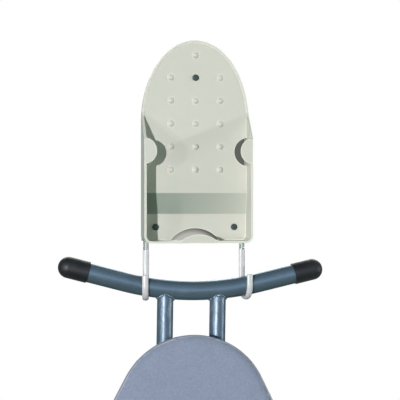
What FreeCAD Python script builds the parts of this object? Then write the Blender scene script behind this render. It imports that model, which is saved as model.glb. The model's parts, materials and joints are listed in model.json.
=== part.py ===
import FreeCAD, Part
import math
import os

# Wall hanger with an iron tray, and a folding ironing board that hangs from its two hooks.
#
# Millimetres. X points right, Y into the wall and Z up. The wall is the plane y = 0, and the origin is on it,
# midway between the two lower wall screws. The board hangs folded: its front leg runs along the wall with the
# foot at the top, and its nose points up. Distances down the board from the nose are called u. Board and legs
# are drawn upright here, and turned as a whole when they are hung on the hooks.

# Tray
TRAY_HALF_WIDTH = 87.0
TRAY_TOP_Z = 300.0
TRAY_BOTTOM_Z = -25.0
CROWN_SPRING_Z = 170.0          # where the straight sides end and the half-ellipse begins
TRAY_CORNER_RADIUS = 11.5
TRAY_SHELL = 2.5
BEAD_PROUD = 1.0                # how far the rim bead stands out of the side wall
BEAD_HEIGHT = 3.0
RIM_DEPTH = 58.0                # rim in front of the wall, beside the iron
CROWN_RIM_DEPTH = 21.0          # rim in front of the wall, around the crown
SLOPE_TOP_Z = 179.0             # the side wall rises from here
SLOPE_BOTTOM_Z = 140.0          # to its full height here
FLOOR_DEPTH = 20.0
WELL_DEPTH = 13.5
STEP_TOP_Z = 54.0
STEP_BOTTOM_Z = 22.0
FAR = 400.0                     # reach of cutting shapes past the parts

# Depth in front of the wall, and height, from the crown down
RIM_PROFILE = (
    (CROWN_RIM_DEPTH, FAR),
    (CROWN_RIM_DEPTH, SLOPE_TOP_Z),
    (RIM_DEPTH, SLOPE_BOTTOM_Z),
    (RIM_DEPTH, -FAR),
)
FLOOR_PROFILE = (
    (FLOOR_DEPTH, FAR),
    (FLOOR_DEPTH, STEP_TOP_Z),
    (WELL_DEPTH, STEP_BOTTOM_Z),
    (WELL_DEPTH, -FAR),
)

SCREW_PLACES = ((0.0, 240.0, FLOOR_DEPTH), (-64.0, 0.0, WELL_DEPTH), (64.0, 0.0, WELL_DEPTH))
SCREW_HOLE_RADIUS = 2.5
SCREW_SHANK_RADIUS = 2.0
SCREW_HEAD_RADIUS = 5.2
SCREW_HEAD_HEIGHT = 2.4
SCREW_REACH = 34.0              # into the wall
SCREW_HEAD_ROUND = 1.44
SLOT_WIDTH = 1.0                # driver slot in a screw head, as deep as it is wide
BOSS_RADIUS = 7.0
PLUG_RADIUS = 3.5
PLUG_START_Y = 0.5
PLUG_LENGTH = 30.0
PLUG_RELIEF_RADIUS = 3.7        # recess around a plug's mouth at the back of a boss
PLUG_RELIEF_DEPTH = 2.0
FIT = 0.05                      # radial clearance of a running fit
OVERCUT = 1.0                   # how far cutting shapes run past a face
JOIN = 1.0                      # how far joined shapes run into each other

NUB_BASE_RADIUS = 5.5
NUB_HEIGHT = 3.0
NUB_SINK = 0.5
NUB_COLUMNS = (-40.0, 0.0, 40.0)
NUB_ROWS = (203.0, 166.0, 129.0, 92.0)
NUB_TOP_CENTRE_Z = 276.0
NUB_TOP_SIDE_Z = 240.0

SIDE_TAB_Z = 121.0
SIDE_TAB_RADIUS = 21.0
SIDE_TAB_REACH_X = 67.0         # innermost point of a side tab
SIDE_SLOT_RADIUS = 23.0
SIDE_SLOT_REACH_X = 63.5
BOTTOM_TAB_RADIUS = 47.0
BOTTOM_TAB_TOP_Z = -11.0
BOTTOM_SLOT_RADIUS = 51.0
BOTTOM_SLOT_TOP_Z = -2.0
TAB_THICKNESS = 2.5
RIB_THICKNESS = 2.5
BASE_RIB_Z = -1.0               # underside of the rib that the origin lies on
HOOK_RIB_Z = 7.5                # underside of the rib that carries the hooks
RIB_HEIGHTS = (80.0, 140.0, 200.0)
NOTCH_SIDE_GAP = 0.6            # between a hook wire and the sides of its notch
NOTCH_FRONT_GAP = 0.8

# Hooks
HOOK_X = 78.5
HOOK_BACK_Y = -5.0
HOOK_WIRE_RADIUS = 1.75
HOOK_WIRE_OFFSET = 2.6          # each wire of the pair from the hook's centre line
HOOK_BEND_RADIUS = 20.25
HOOK_SPLAY = 8.0                # degrees, front of the hook turned outwards
HOOK_CENTRE_Z = -93.3           # centre of the bend
HOOK_TIP_Z = -80.0
SLEEVE_TOP_Z = -37.0
SLEEVE_HALF_WIDTH = 5.0
SLEEVE_HALF_DEPTH = 3.25
SLEEVE_TIP_ROUND = 1.9
WIRE_END_LENGTH = 13.0
WIRE_END_BEND = 2.3
WIRE_END_STEP = 3.675           # the second wire's end lies above the first
SLEEVE_TIP_THICKNESS = 0.8
EDGE_TOLERANCE = 0.1            # for picking edges by their place

# Legs
LEG_PLANE_Y = -25.5
FOOT_RADIUS = 15.5
FOOT_WALL = 1.5
FOOT_BEND_RADIUS = 450.0
FOOT_BEND_ANGLE = 14.0
FOOT_HALF_LENGTH = 192.0
CAP_RADIUS = 17.0
CAP_START_X = 166.0
CAP_TIP_X = 213.5
FRONT_FOOT_Z = -101.6
REAR_FOOT_Z = -1269.0
HANG_ANGLE = 0.9                # degrees, clockwise from the front: the foot lies shifted in the hooks
FRONT_LEG_X = 42.5
FRONT_LEG_RADIUS = 13.0
REAR_LEG_X = 72.0
REAR_LEG_RADIUS = 12.5
LEG_WALL = 1.2
PIVOT_LINE_Y = -45.5            # board pivot and crossbar, 20 in front of the leg plane
BOARD_PIVOT_Z = -1085.0
SCISSOR_Z = -685.0
CROSSBAR_Z = -285.0
LEG_PAST_PIVOT = 14.0
LUG_THICKNESS = 3.0
LUG_RADIUS = 10.0
PIN_RADIUS = 4.0
BOLT_HEAD_RADIUS = 8.0
BOLT_HEAD_HEIGHT = 4.0
BOLT_HEAD_ROUND = 2.8
NUT_FLAT_RADIUS = 6.5
NUT_HEIGHT = 6.0
SPACER_RADIUS = 8.0
BOLT_PAST_NUT = 1.0
CLIP_THICKNESS = 1.2
CLIP_RADIUS = 6.0
CLIP_GAP = 0.3
BAR_PAST_LUG = 1.0
LEG_BRACE_RADIUS = 8.0
FRONT_BRACE_Z = -860.0
REAR_BRACE_Z = -1180.0

# Board
BOARD_LENGTH = 1200.0
BOARD_HALF_WIDTH = 165.0
NOSE_Z = -170.0
NOSE_RADIUS = 120.0
TAPER_ANGLE = math.radians(27.0)
SIDE_CURVE_RADIUS = 400.0
TAIL_CORNER_RADIUS = 60.0
RIM_BACK_Y = -56.0
RIM_FRONT_Y = -70.0
RIM_WALL = 1.5
RIM_LIP = 14.0
MESH_THICKNESS = 1.0
MESH_PITCH = 25.0
MESH_HOLE_RADIUS = 10.5         # hexagon corner radius
MESH_BORDER = 20.0
RIM_CLEARANCE = 0.1            # between the rim's wall and what lies inside it
PAD_BACK_Y = -70.1
PAD_FRONT_Y = -75.2
COVER_THICKNESS = 1.2
COVER_GAP = 0.2
HEM_WIDTH = 22.0
CORD_RADIUS = 1.4
CORD_INSET = 28.5
CORD_Y = -54.4
CORD_LOCK_RADIUS = 6.0
CORD_LOCK_LENGTH = 22.0
CORD_LOCK_ROUND = 2.0
BRACE_PLACES = (80.0, 600.0, 1000.0)
BRACE_HALF_WIDTH = 15.0
BRACE_BACK_Y = -58.0
SHEET_FRONT_Y = -68.95          # front of everything fixed under the mesh
SHEET = 2.0

# Rails that guide the crossbar
RAIL_X = 20.0
RAIL_BACK_Y = -36.0
RAIL_TOP_Z = -270.0
RAIL_BOTTOM_Z = -690.0
RAIL_FLANGE = 14.0
RAIL_SLOT_HALF_WIDTH = 4.4
RAIL_SLOT_TOP_Z = -281.0
RAIL_SLOT_BOTTOM_Z = -675.0
NOTCH_DEPTH = 3.0
NOTCH_FIRST_Z = -520.0
NOTCH_PITCH = 30.0
NOTCH_COUNT = 6
BRACKET_HALF_WIDTH = 23.0
BRACKET_HALF_HEIGHT = 24.0
BRACKET_EAR_RADIUS = 8.0

# Height lever
HINGE_X = 15.2
HINGE_Y = -37.5
HINGE_ROD_RADIUS = 1.5
KNUCKLE_RADIUS = 3.0
KEEPER_TOP_Z = -290.0
KEEPER_BOTTOM_Z = -676.0
KEEPER_LEFT_X = -15.0
KEEPER_RIGHT_X = 11.6
KEEPER_THICKNESS = 2.0
KNUCKLES = ((-290.0, -305.0), (-470.0, -500.0), (-655.0, -676.0))
TONGUE_BOTTOM_Z = -716.0
LEVER_RADIUS = 3.0
LEVER_Z = -712.0
LEVER_START_X = -5.0            # on the keeper's tongue
LEVER_START_Z = -688.0
LEVER_TURN_Z = -706.0
LEVER_DROP_X = 7.0              # from here the arm passes in front of the legs
LEVER_CLEAR_Y = -45.0
LEVER_RISE_X = 90.0             # and from here it rises to the grip
LEVER_LEVEL_X = 114.0
LEVER_GRIP_Y = -30.0
LEVER_END_X = 178.0
GRIP_RADIUS = 5.5
GRIP_LENGTH = 46.0
GRIP_TIP_THICKNESS = 4.0
GRIP_ROUND = 2.5
LEVER_BEND_RADIUS = 5.0
TONGUE_RIGHT_X = 6.3
SPRING_TOP_Z = -306.0
SPRING_PITCH = 1.1
SPRING_TURNS = 10
SPRING_RADIUS = 2.45
SPRING_WIRE_RADIUS = 0.35
SPRING_LEG = (-3.0, 4.45, 0.0)


def vec(x, y, z):
    return FreeCAD.Vector(x, y, z)


def box(x_range, y_range, z_range):
    """Block between two limits on each axis."""
    low = vec(min(x_range), min(y_range), min(z_range))
    high = vec(max(x_range), max(y_range), max(z_range))
    return Part.makeBox(high.x - low.x, high.y - low.y, high.z - low.z, low)


def rod(start, end, radius):
    """Round bar between two points."""
    return Part.makeCylinder(radius, start.distanceToPoint(end), start, end - start)


def rod_along_x(x_range, y, z, radius):
    return rod(vec(min(x_range), y, z), vec(max(x_range), y, z), radius)


def rod_along_z(x, y, z_range, radius):
    return rod(vec(x, y, min(z_range)), vec(x, y, max(z_range)), radius)


def with_round_ends(bar, radius):
    """A bar along X with the edges of its two ends rounded."""
    return bar.makeFillet(radius, [edge for edge in bar.Edges if edge.BoundBox.XLength < EDGE_TOLERANCE])


def tube(start, end, radius, wall):
    """Round tube between two points."""
    return rod(start, end, radius).cut(rod(start, end, radius - wall))


def path_wire(start, *steps):
    """Wire from start. Each step is an end point, or a pair: a point on an arc and the arc's end point."""
    edges = []
    here = start
    for step in steps:
        if isinstance(step, tuple):
            via, end = step
            edges.append(Part.Arc(here, via, end).toShape())
        else:
            end = step
            edges.append(Part.makeLine(here, end))
        here = end
    return Part.Wire(edges)


def bent_path(points, bend_radius):
    """Straight runs between points, with a round bend at each inner point."""
    steps = []
    for before, corner, after in zip(points, points[1:], points[2:]):
        arrive = (corner - before).normalize()
        leave = (after - corner).normalize()
        half_turn = arrive.getAngle(leave) / 2
        trim = bend_radius * math.tan(half_turn)
        inward = (leave - arrive).normalize()
        middle = corner + inward * (bend_radius / math.cos(half_turn) - bend_radius)
        steps.append(corner - arrive * trim)
        steps.append((middle, corner + leave * trim))
    return path_wire(points[0], *steps, points[-1])


def swept_round(wire, radius):
    """Round bar along a smooth wire."""
    first = wire.Edges[0]
    start = first.valueAt(first.FirstParameter)
    direction = first.tangentAt(first.FirstParameter)
    profile = Part.Wire(Part.makeCircle(radius, start, direction))
    return wire.makePipeShell([profile], True, False)


def prism(wire, depth):
    """Solid with the wire's outline, pushed along Y by the depth."""
    return Part.Face(wire).extrude(vec(0, depth, 0))


def side_prism(points, x_range):
    """Solid with an outline of (y, z) points, between two X limits."""
    corners = [vec(min(x_range), y, z) for y, z in points]
    face = Part.Face(Part.makePolygon(corners + corners[:1]))
    return face.extrude(vec(max(x_range) - min(x_range), 0, 0))


def disc(x, z, radius, y_range):
    """Round plate that faces Y."""
    return rod(vec(x, min(y_range), z), vec(x, max(y_range), z), radius)


def mirrored(shape):
    """The same shape on the other side of the plane x = 0."""
    return shape.mirror(vec(0, 0, 0), vec(1, 0, 0))


def pair(shape):
    """A shape of the right side and its mirror image, as two solids."""
    return Part.makeCompound([shape, mirrored(shape)])


# Tray ---------------------------------------------------------------------------------------------------

def tray_outline(inset, y=0.0):
    """Straight sides, round lower corners and a half-ellipse crown, moved inwards by the inset."""
    half = TRAY_HALF_WIDTH - inset
    bottom = TRAY_BOTTOM_Z + inset
    corner = TRAY_CORNER_RADIUS - inset
    diagonal = corner * (1 - math.sqrt(0.5))
    centre = vec(0, y, CROWN_SPRING_Z)
    crown = Part.Ellipse(vec(0, y, TRAY_TOP_Z - inset), vec(half, y, CROWN_SPRING_Z), centre)
    sides = path_wire(
        vec(half, y, CROWN_SPRING_Z),
        vec(half, y, bottom + corner),
        (vec(half - diagonal, y, bottom + diagonal), vec(half - corner, y, bottom)),
        vec(corner - half, y, bottom),
        (vec(diagonal - half, y, bottom + diagonal), vec(-half, y, bottom + corner)),
        vec(-half, y, CROWN_SPRING_Z),
    )
    crown_edge = crown.toShape(-math.pi / 2, math.pi / 2)
    return Part.Wire([crown_edge] + sides.Edges)


def tray_block(inset):
    """Full-depth block inside the tray's outline."""
    return prism(tray_outline(inset), -RIM_DEPTH)


def room_side(profile, shift=0.0):
    """Everything in front of a (depth, z) profile that runs from the crown down, moved back by the shift."""
    line = [(shift - depth, z) for depth, z in profile]
    return side_prism([(-FAR, FAR)] + line + [(-FAR, -FAR)], (-FAR, FAR))


def nub(x, z):
    """Low dome on the upper floor."""
    radius = (NUB_BASE_RADIUS ** 2 + NUB_HEIGHT ** 2) / (2 * NUB_HEIGHT)
    centre_y = -FLOOR_DEPTH - NUB_HEIGHT + radius
    base_angle = math.degrees(math.asin((radius - NUB_HEIGHT - NUB_SINK) / radius))
    return Part.makeSphere(radius, vec(x, centre_y, z), vec(0, -1, 0), base_angle, 90, 360)


def tray_nubs():
    places = [(x, z) for x in NUB_COLUMNS for z in NUB_ROWS]
    places.append((0.0, NUB_TOP_CENTRE_Z))
    places += [(x, NUB_TOP_SIDE_Z) for x in NUB_COLUMNS if x]
    return [nub(x, z) for x, z in places]


def tray_tabs():
    """Two side tabs and a bottom tab, flush with the rim, that keep the iron in."""
    depths = (-RIM_DEPTH, TAB_THICKNESS - RIM_DEPTH)
    side_x = SIDE_TAB_REACH_X + SIDE_TAB_RADIUS
    bottom_z = BOTTOM_TAB_TOP_Z - BOTTOM_TAB_RADIUS
    discs = [
        disc(side_x, SIDE_TAB_Z, SIDE_TAB_RADIUS, depths),
        disc(-side_x, SIDE_TAB_Z, SIDE_TAB_RADIUS, depths),
        disc(0, bottom_z, BOTTOM_TAB_RADIUS, depths),
    ]
    inside = tray_block(BEAD_PROUD + TRAY_SHELL / 2).cut(room_side(RIM_PROFILE))
    return [plate.common(inside) for plate in discs]


def tab_slots():
    """Openings in the floor behind the tabs."""
    depths = (-FLOOR_DEPTH - OVERCUT, OVERCUT)
    side_x = SIDE_SLOT_REACH_X + SIDE_SLOT_RADIUS
    bottom_z = BOTTOM_SLOT_TOP_Z - BOTTOM_SLOT_RADIUS
    discs = [
        disc(side_x, SIDE_TAB_Z, SIDE_SLOT_RADIUS, depths),
        disc(-side_x, SIDE_TAB_Z, SIDE_SLOT_RADIUS, depths),
        disc(0, bottom_z, BOTTOM_SLOT_RADIUS, depths),
    ]
    inside = prism(tray_outline(BEAD_PROUD + TRAY_SHELL, OVERCUT), -RIM_DEPTH)
    return [opening.common(inside) for opening in discs]


def tray_ribs():
    """Cross ribs, a backbone and screw bosses behind the floor, all ending on the wall plane."""
    half = TRAY_HALF_WIDTH - BEAD_PROUD - TRAY_SHELL / 2
    depths = (-FLOOR_DEPTH, 0)
    levels = (BASE_RIB_Z, HOOK_RIB_Z) + RIB_HEIGHTS
    ribs = [box((-half, half), depths, (z, z + RIB_THICKNESS)) for z in levels]
    half_rib = RIB_THICKNESS / 2
    ribs.append(box((-half_rib, half_rib), depths, (BASE_RIB_Z, TRAY_TOP_Z - BEAD_PROUD - JOIN)))
    ribs += [disc(x, z, BOSS_RADIUS, depths) for x, z, _ in SCREW_PLACES]
    return ribs


def hook_passages():
    """Open notches for the hook wires in the tray's bottom wall and in the ribs above it."""
    half = HOOK_WIRE_OFFSET + HOOK_WIRE_RADIUS + NOTCH_SIDE_GAP
    y_range = (HOOK_BACK_Y - HOOK_WIRE_RADIUS - NOTCH_FRONT_GAP, OVERCUT)
    z_range = (TRAY_BOTTOM_Z - OVERCUT, HOOK_RIB_Z + RIB_THICKNESS + OVERCUT)
    return [box((x - half, x + half), y_range, z_range) for x in (-HOOK_X, HOOK_X)]


def make_tray():
    """One moulding: rim, floor, well, tabs, nubs and ribs."""
    rim_front = room_side(RIM_PROFILE)
    wall = tray_block(BEAD_PROUD).cut(rim_front)
    bead = tray_block(0.0).common(room_side(RIM_PROFILE, BEAD_HEIGHT)).cut(rim_front)
    cavity = tray_block(BEAD_PROUD + TRAY_SHELL).common(room_side(FLOOR_PROFILE))
    hollow = tray_block(BEAD_PROUD + TRAY_SHELL).cut(room_side(FLOOR_PROFILE, TRAY_SHELL))
    rib_space = tray_block(BEAD_PROUD + TRAY_SHELL / 2).cut(room_side(FLOOR_PROFILE, JOIN))
    ribs = [rib.common(rib_space) for rib in tray_ribs()]
    shell = wall.fuse(bead).cut(cavity).cut(hollow)
    tray = shell.multiFuse(ribs + tray_nubs() + tray_tabs())
    holes = [disc(x, z, SCREW_HOLE_RADIUS, (-FLOOR_DEPTH - OVERCUT, OVERCUT)) for x, z, _ in SCREW_PLACES]
    holes += [disc(x, z, PLUG_RELIEF_RADIUS, (-PLUG_RELIEF_DEPTH, OVERCUT)) for x, z, _ in SCREW_PLACES]
    return tray.cut(tab_slots() + holes + hook_passages()).removeSplitter()


def make_wall_screws():
    """Three slotted pan-head screws through the tray into the wall plugs."""
    screws = []
    for x, z, depth in SCREW_PLACES:
        seat = vec(x, -depth - FIT, z)
        shank = rod(seat, vec(x, SCREW_REACH, z), SCREW_SHANK_RADIUS)
        head = rod(seat, seat - vec(0, SCREW_HEAD_HEIGHT, 0), SCREW_HEAD_RADIUS)
        head = head.makeFillet(SCREW_HEAD_ROUND, [head.Edges[0]])
        front_y = seat.y - SCREW_HEAD_HEIGHT
        half = SLOT_WIDTH / 2
        slot = box((x - FAR, x + FAR), (front_y - OVERCUT, front_y + SLOT_WIDTH), (z - half, z + half))
        screws.append(shank.fuse(head).cut(slot))
    return Part.makeCompound(screws)


def make_wall_plugs():
    """Three plugs that sit in drilled holes in the wall and grip the screws."""
    plugs = []
    for x, z, _ in SCREW_PLACES:
        start = vec(x, PLUG_START_Y, z)
        end = vec(x, PLUG_START_Y + PLUG_LENGTH, z)
        plugs.append(rod(start, end, PLUG_RADIUS).cut(rod(start, end, SCREW_SHANK_RADIUS + FIT)))
    return Part.makeCompound(plugs)


# Hooks --------------------------------------------------------------------------------------------------

def hook_frame():
    """A point of the right hook's back leg, the direction to its front leg, and its sideways direction."""
    splay = math.radians(HOOK_SPLAY)
    forward = vec(math.sin(splay), -math.cos(splay), 0)
    sideways = vec(math.cos(splay), math.sin(splay), 0)
    return vec(HOOK_X, HOOK_BACK_Y, 0), forward, sideways


def hook_points(offset):
    """Start, middle and end of the hook's bend, for a line beside the hook's centre line."""
    back, forward, sideways = hook_frame()
    start = back + sideways * offset + vec(0, 0, HOOK_CENTRE_Z)
    middle = start + forward * HOOK_BEND_RADIUS - vec(0, 0, HOOK_BEND_RADIUS)
    return start, middle, start + forward * (2 * HOOK_BEND_RADIUS)


def raised(point, z):
    return vec(point.x, point.y, z)


def make_hook_wire():
    """One wire bent into a double hook, with its two ends turned over the rib behind the tray."""
    rib_top = HOOK_RIB_Z + RIB_THICKNESS
    bars = []
    tips = []
    for level, offset in enumerate((-HOOK_WIRE_OFFSET, HOOK_WIRE_OFFSET)):
        start, middle, end = hook_points(offset)
        end_z = rib_top + FIT + HOOK_WIRE_RADIUS + WIRE_END_STEP * level
        top = raised(start, end_z)
        tip = raised(end, HOOK_TIP_Z)
        inner = top - vec(WIRE_END_LENGTH, 0, 0)
        upper = bent_path([inner, top, start], WIRE_END_BEND)
        lower = path_wire(start, (middle, end), tip)
        bars.append(swept_round(Part.Wire(upper.Edges + lower.Edges), HOOK_WIRE_RADIUS))
        tips.append(tip)
    arch_top = (tips[0] + tips[1]) * 0.5 + vec(0, 0, HOOK_WIRE_OFFSET)
    arch = swept_round(path_wire(tips[0], (arch_top, tips[1])), HOOK_WIRE_RADIUS)
    return bars[0].multiFuse([arch, bars[1]]).removeSplitter()


def make_hook_sleeve(wire):
    """Soft coating around the bend and the front leg of a hook, closed over its tip."""
    _, forward, sideways = hook_frame()
    start, middle, end = hook_points(0.0)
    tip = raised(end, HOOK_TIP_Z + HOOK_WIRE_OFFSET + HOOK_WIRE_RADIUS + SLEEVE_TIP_THICKNESS)
    path = path_wire(raised(start, SLEEVE_TOP_Z), start, (middle, end), tip)
    centre = raised(start, SLEEVE_TOP_Z)
    side = centre + sideways * SLEEVE_HALF_WIDTH
    section = Part.Ellipse(side, centre + forward * SLEEVE_HALF_DEPTH, centre)
    sleeve = path.makePipeShell([Part.Wire(section.toShape())], True, False)
    tip_edges = [edge for edge in sleeve.Edges if edge.BoundBox.ZMin > tip.z - EDGE_TOLERANCE
                 and edge.BoundBox.ZMax < tip.z + EDGE_TOLERANCE]
    return sleeve.makeFillet(SLEEVE_TIP_ROUND, tip_edges).cut(wire)


# Feet and legs ------------------------------------------------------------------------------------------

def foot_z(x, middle_z, rise):
    """Height of a foot's centre line. Rise is 1 where the ends bend up, -1 where they bend down."""
    bend = math.radians(FOOT_BEND_ANGLE)
    half_chord = FOOT_BEND_RADIUS * math.sin(bend)
    reach = min(abs(x), half_chord)
    height = FOOT_BEND_RADIUS - math.sqrt(FOOT_BEND_RADIUS ** 2 - reach ** 2)
    return middle_z + rise * (height + (abs(x) - reach) * math.tan(bend))


def foot_point(x, middle_z, rise):
    return vec(x, LEG_PLANE_Y, foot_z(x, middle_z, rise))


def foot_solid(middle_z, rise, radius):
    """Solid bar along a foot's centre line."""
    half_chord = FOOT_BEND_RADIUS * math.sin(math.radians(FOOT_BEND_ANGLE))
    path = path_wire(
        foot_point(-FOOT_HALF_LENGTH, middle_z, rise),
        foot_point(-half_chord, middle_z, rise),
        (foot_point(0, middle_z, rise), foot_point(half_chord, middle_z, rise)),
        foot_point(FOOT_HALF_LENGTH, middle_z, rise),
    )
    return swept_round(path, radius)


def make_foot_tube(middle_z, rise):
    return foot_solid(middle_z, rise, FOOT_RADIUS).cut(foot_solid(middle_z, rise, FOOT_RADIUS - FOOT_WALL))


def make_foot_cap(middle_z, rise):
    """Rubber cap over the right end of a foot tube."""
    dome_x = CAP_TIP_X - CAP_RADIUS * math.cos(math.radians(FOOT_BEND_ANGLE))
    start = foot_point(CAP_START_X, middle_z, rise)
    dome = foot_point(dome_x, middle_z, rise)
    cap = rod(start, dome, CAP_RADIUS).fuse(Part.makeSphere(CAP_RADIUS, dome))
    return cap.cut(foot_solid(middle_z, rise, FOOT_RADIUS))


def leg_tube(x, radius, foot_middle_z, rise, end_z):
    """Leg tube from a foot to just past its top pivot, coped to the foot and drilled for the scissor bolt."""
    leg = tube(foot_point(x, foot_middle_z, rise), vec(x, LEG_PLANE_Y, end_z), radius, LEG_WALL)
    reach = radius + OVERCUT
    hole = rod_along_x((x - reach, x + reach), LEG_PLANE_Y, SCISSOR_Z, PIN_RADIUS + FIT)
    return leg.cut([foot_solid(foot_middle_z, rise, FOOT_RADIUS), hole])


def make_front_leg_tube():
    return leg_tube(FRONT_LEG_X, FRONT_LEG_RADIUS, FRONT_FOOT_Z, 1, BOARD_PIVOT_Z - LEG_PAST_PIVOT)


def make_rear_leg_tube():
    return leg_tube(REAR_LEG_X, REAR_LEG_RADIUS, REAR_FOOT_Z, -1, CROSSBAR_Z + LEG_PAST_PIVOT)


def pivot_lug(outer_x, z):
    """Plate welded inside a leg tube that carries the pivot line in front of the leg plane."""
    x_range = (outer_x - LUG_THICKNESS, outer_x)
    plate = box(x_range, (PIVOT_LINE_Y, LEG_PLANE_Y + LUG_RADIUS), (z - LUG_RADIUS, z + LUG_RADIUS))
    eye = rod_along_x(x_range, PIVOT_LINE_Y, z, LUG_RADIUS)
    hole = rod_along_x((x_range[0] - OVERCUT, x_range[1] + OVERCUT), PIVOT_LINE_Y, z, PIN_RADIUS + FIT)
    return plate.fuse(eye).cut(hole).removeSplitter()


def make_front_pivot_lugs():
    return pair(pivot_lug(FRONT_LEG_X - FRONT_LEG_RADIUS, BOARD_PIVOT_Z))


def make_rear_pivot_lugs():
    return pair(pivot_lug(REAR_LEG_X - REAR_LEG_RADIUS, CROSSBAR_Z))


def leg_brace(leg_x, leg_radius, z):
    """Tube welded between the two tubes of a leg, coped to them."""
    ends = [vec(side * leg_x, LEG_PLANE_Y, z) for side in (-1, 1)]
    legs = [rod(end - vec(0, 0, 2 * leg_radius), end + vec(0, 0, 2 * leg_radius), leg_radius) for end in ends]
    return tube(ends[0], ends[1], LEG_BRACE_RADIUS, LEG_WALL).cut(legs)


def make_front_leg_brace():
    return leg_brace(FRONT_LEG_X, FRONT_LEG_RADIUS, FRONT_BRACE_Z)


def make_rear_leg_brace():
    return leg_brace(REAR_LEG_X, REAR_LEG_RADIUS, REAR_BRACE_Z)


def make_scissor_bolts():
    """Domed bolts through the front and rear leg tubes of each side."""
    inner_x = FRONT_LEG_X - FRONT_LEG_RADIUS - NUT_HEIGHT - BOLT_PAST_NUT
    outer_x = REAR_LEG_X + REAR_LEG_RADIUS + FIT
    shank = rod_along_x((inner_x, outer_x), LEG_PLANE_Y, SCISSOR_Z, PIN_RADIUS)
    head = rod_along_x((outer_x, outer_x + BOLT_HEAD_HEIGHT), LEG_PLANE_Y, SCISSOR_Z, BOLT_HEAD_RADIUS)
    rim = max(head.Edges, key=lambda edge: edge.BoundBox.XMin)
    return pair(shank.fuse(head.makeFillet(BOLT_HEAD_ROUND, [rim])))


def make_scissor_nuts():
    outer_x = FRONT_LEG_X - FRONT_LEG_RADIUS - FIT
    corner_radius = NUT_FLAT_RADIUS / math.cos(math.pi / 6)
    corners = []
    for step in range(7):
        angle = step * math.pi / 3
        y = LEG_PLANE_Y + corner_radius * math.cos(angle)
        corners.append(vec(outer_x - NUT_HEIGHT, y, SCISSOR_Z + corner_radius * math.sin(angle)))
    nut = Part.Face(Part.makePolygon(corners)).extrude(vec(NUT_HEIGHT, 0, 0))
    hole = rod_along_x((0, outer_x + OVERCUT), LEG_PLANE_Y, SCISSOR_Z, PIN_RADIUS + FIT)
    return pair(nut.cut(hole))


def make_scissor_spacers():
    """Washers that keep the front and rear leg tubes apart."""
    inner_x = FRONT_LEG_X + FRONT_LEG_RADIUS + FIT
    outer_x = REAR_LEG_X - REAR_LEG_RADIUS - FIT
    place = ((inner_x, outer_x), LEG_PLANE_Y, SCISSOR_Z)
    return pair(rod_along_x(*place, SPACER_RADIUS).cut(rod_along_x(*place, PIN_RADIUS + FIT)))


def make_crossbar():
    """Bar at the top of the rear leg that slides in the rails."""
    half = REAR_LEG_X - REAR_LEG_RADIUS + LUG_THICKNESS + BAR_PAST_LUG
    return rod_along_x((-half, half), PIVOT_LINE_Y, CROSSBAR_Z, PIN_RADIUS)


def end_clip(x, z):
    """Push-on retaining clip on a pivot bar."""
    place = ((x, x + CLIP_THICKNESS), PIVOT_LINE_Y, z)
    return rod_along_x(*place, CLIP_RADIUS).cut(rod_along_x(*place, PIN_RADIUS))


def make_crossbar_clips():
    return pair(end_clip(REAR_LEG_X - REAR_LEG_RADIUS + CLIP_GAP, CROSSBAR_Z))


# Board --------------------------------------------------------------------------------------------------

def board_outline(inset, y=0.0):
    """Round nose, straight tapers, long side curves and round tail corners, moved inwards by the inset."""
    cosine = math.cos(TAPER_ANGLE)
    sine = math.sin(TAPER_ANGLE)
    side_centre_x = BOARD_HALF_WIDTH - SIDE_CURVE_RADIUS
    taper_start_u = NOSE_RADIUS * (1 - sine)
    taper_run_x = side_centre_x + SIDE_CURVE_RADIUS * cosine - NOSE_RADIUS * cosine
    side_centre_u = taper_start_u + taper_run_x / math.tan(TAPER_ANGLE) + SIDE_CURVE_RADIUS * sine

    def at(x, u):
        return vec(x, y, NOSE_Z - u)

    def on_arc(centre_x, centre_u, radius, angle):
        return centre_x + radius * math.cos(angle), centre_u - radius * math.sin(angle)

    nose = NOSE_RADIUS - inset
    side = SIDE_CURVE_RADIUS - inset
    corner = TAIL_CORNER_RADIUS - inset
    corner_x = BOARD_HALF_WIDTH - TAIL_CORNER_RADIUS
    corner_u = BOARD_LENGTH - TAIL_CORNER_RADIUS
    taper_start = on_arc(0, NOSE_RADIUS, nose, TAPER_ANGLE)
    taper_end = on_arc(side_centre_x, side_centre_u, side, TAPER_ANGLE)
    side_middle = on_arc(side_centre_x, side_centre_u, side, TAPER_ANGLE / 2)
    side_end = on_arc(side_centre_x, side_centre_u, side, 0)
    corner_start = on_arc(corner_x, corner_u, corner, 0)
    corner_middle = on_arc(corner_x, corner_u, corner, -math.pi / 4)
    corner_end = on_arc(corner_x, corner_u, corner, -math.pi / 2)

    def left(point):
        return at(-point[0], point[1])

    return path_wire(
        left(taper_start),
        (at(0, inset), at(*taper_start)),
        at(*taper_end),
        (at(*side_middle), at(*side_end)),
        at(*corner_start),
        (at(*corner_middle), at(*corner_end)),
        left(corner_end),
        (left(corner_middle), left(corner_start)),
        left(side_end),
        (left(side_middle), left(taper_end)),
        left(taper_start),
    )


def board_slab(inset, y_range):
    return prism(board_outline(inset, min(y_range)), max(y_range) - min(y_range))


def make_board_rim():
    """Folded steel edge: a wall around the outline and a lip turned in under the board."""
    outer = board_slab(0, (RIM_BACK_Y, RIM_FRONT_Y))
    inner = board_slab(RIM_WALL, (RIM_BACK_Y - RIM_WALL, RIM_FRONT_Y - OVERCUT))
    opening = board_slab(RIM_LIP, (RIM_BACK_Y + OVERCUT, RIM_FRONT_Y))
    return outer.cut([inner, opening])


def hexagon(x, z, y):
    corners = []
    for step in range(7):
        angle = step * math.pi / 3
        corners.append(vec(x + MESH_HOLE_RADIUS * math.cos(angle), y, z + MESH_HOLE_RADIUS * math.sin(angle)))
    return Part.makePolygon(corners)


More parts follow.
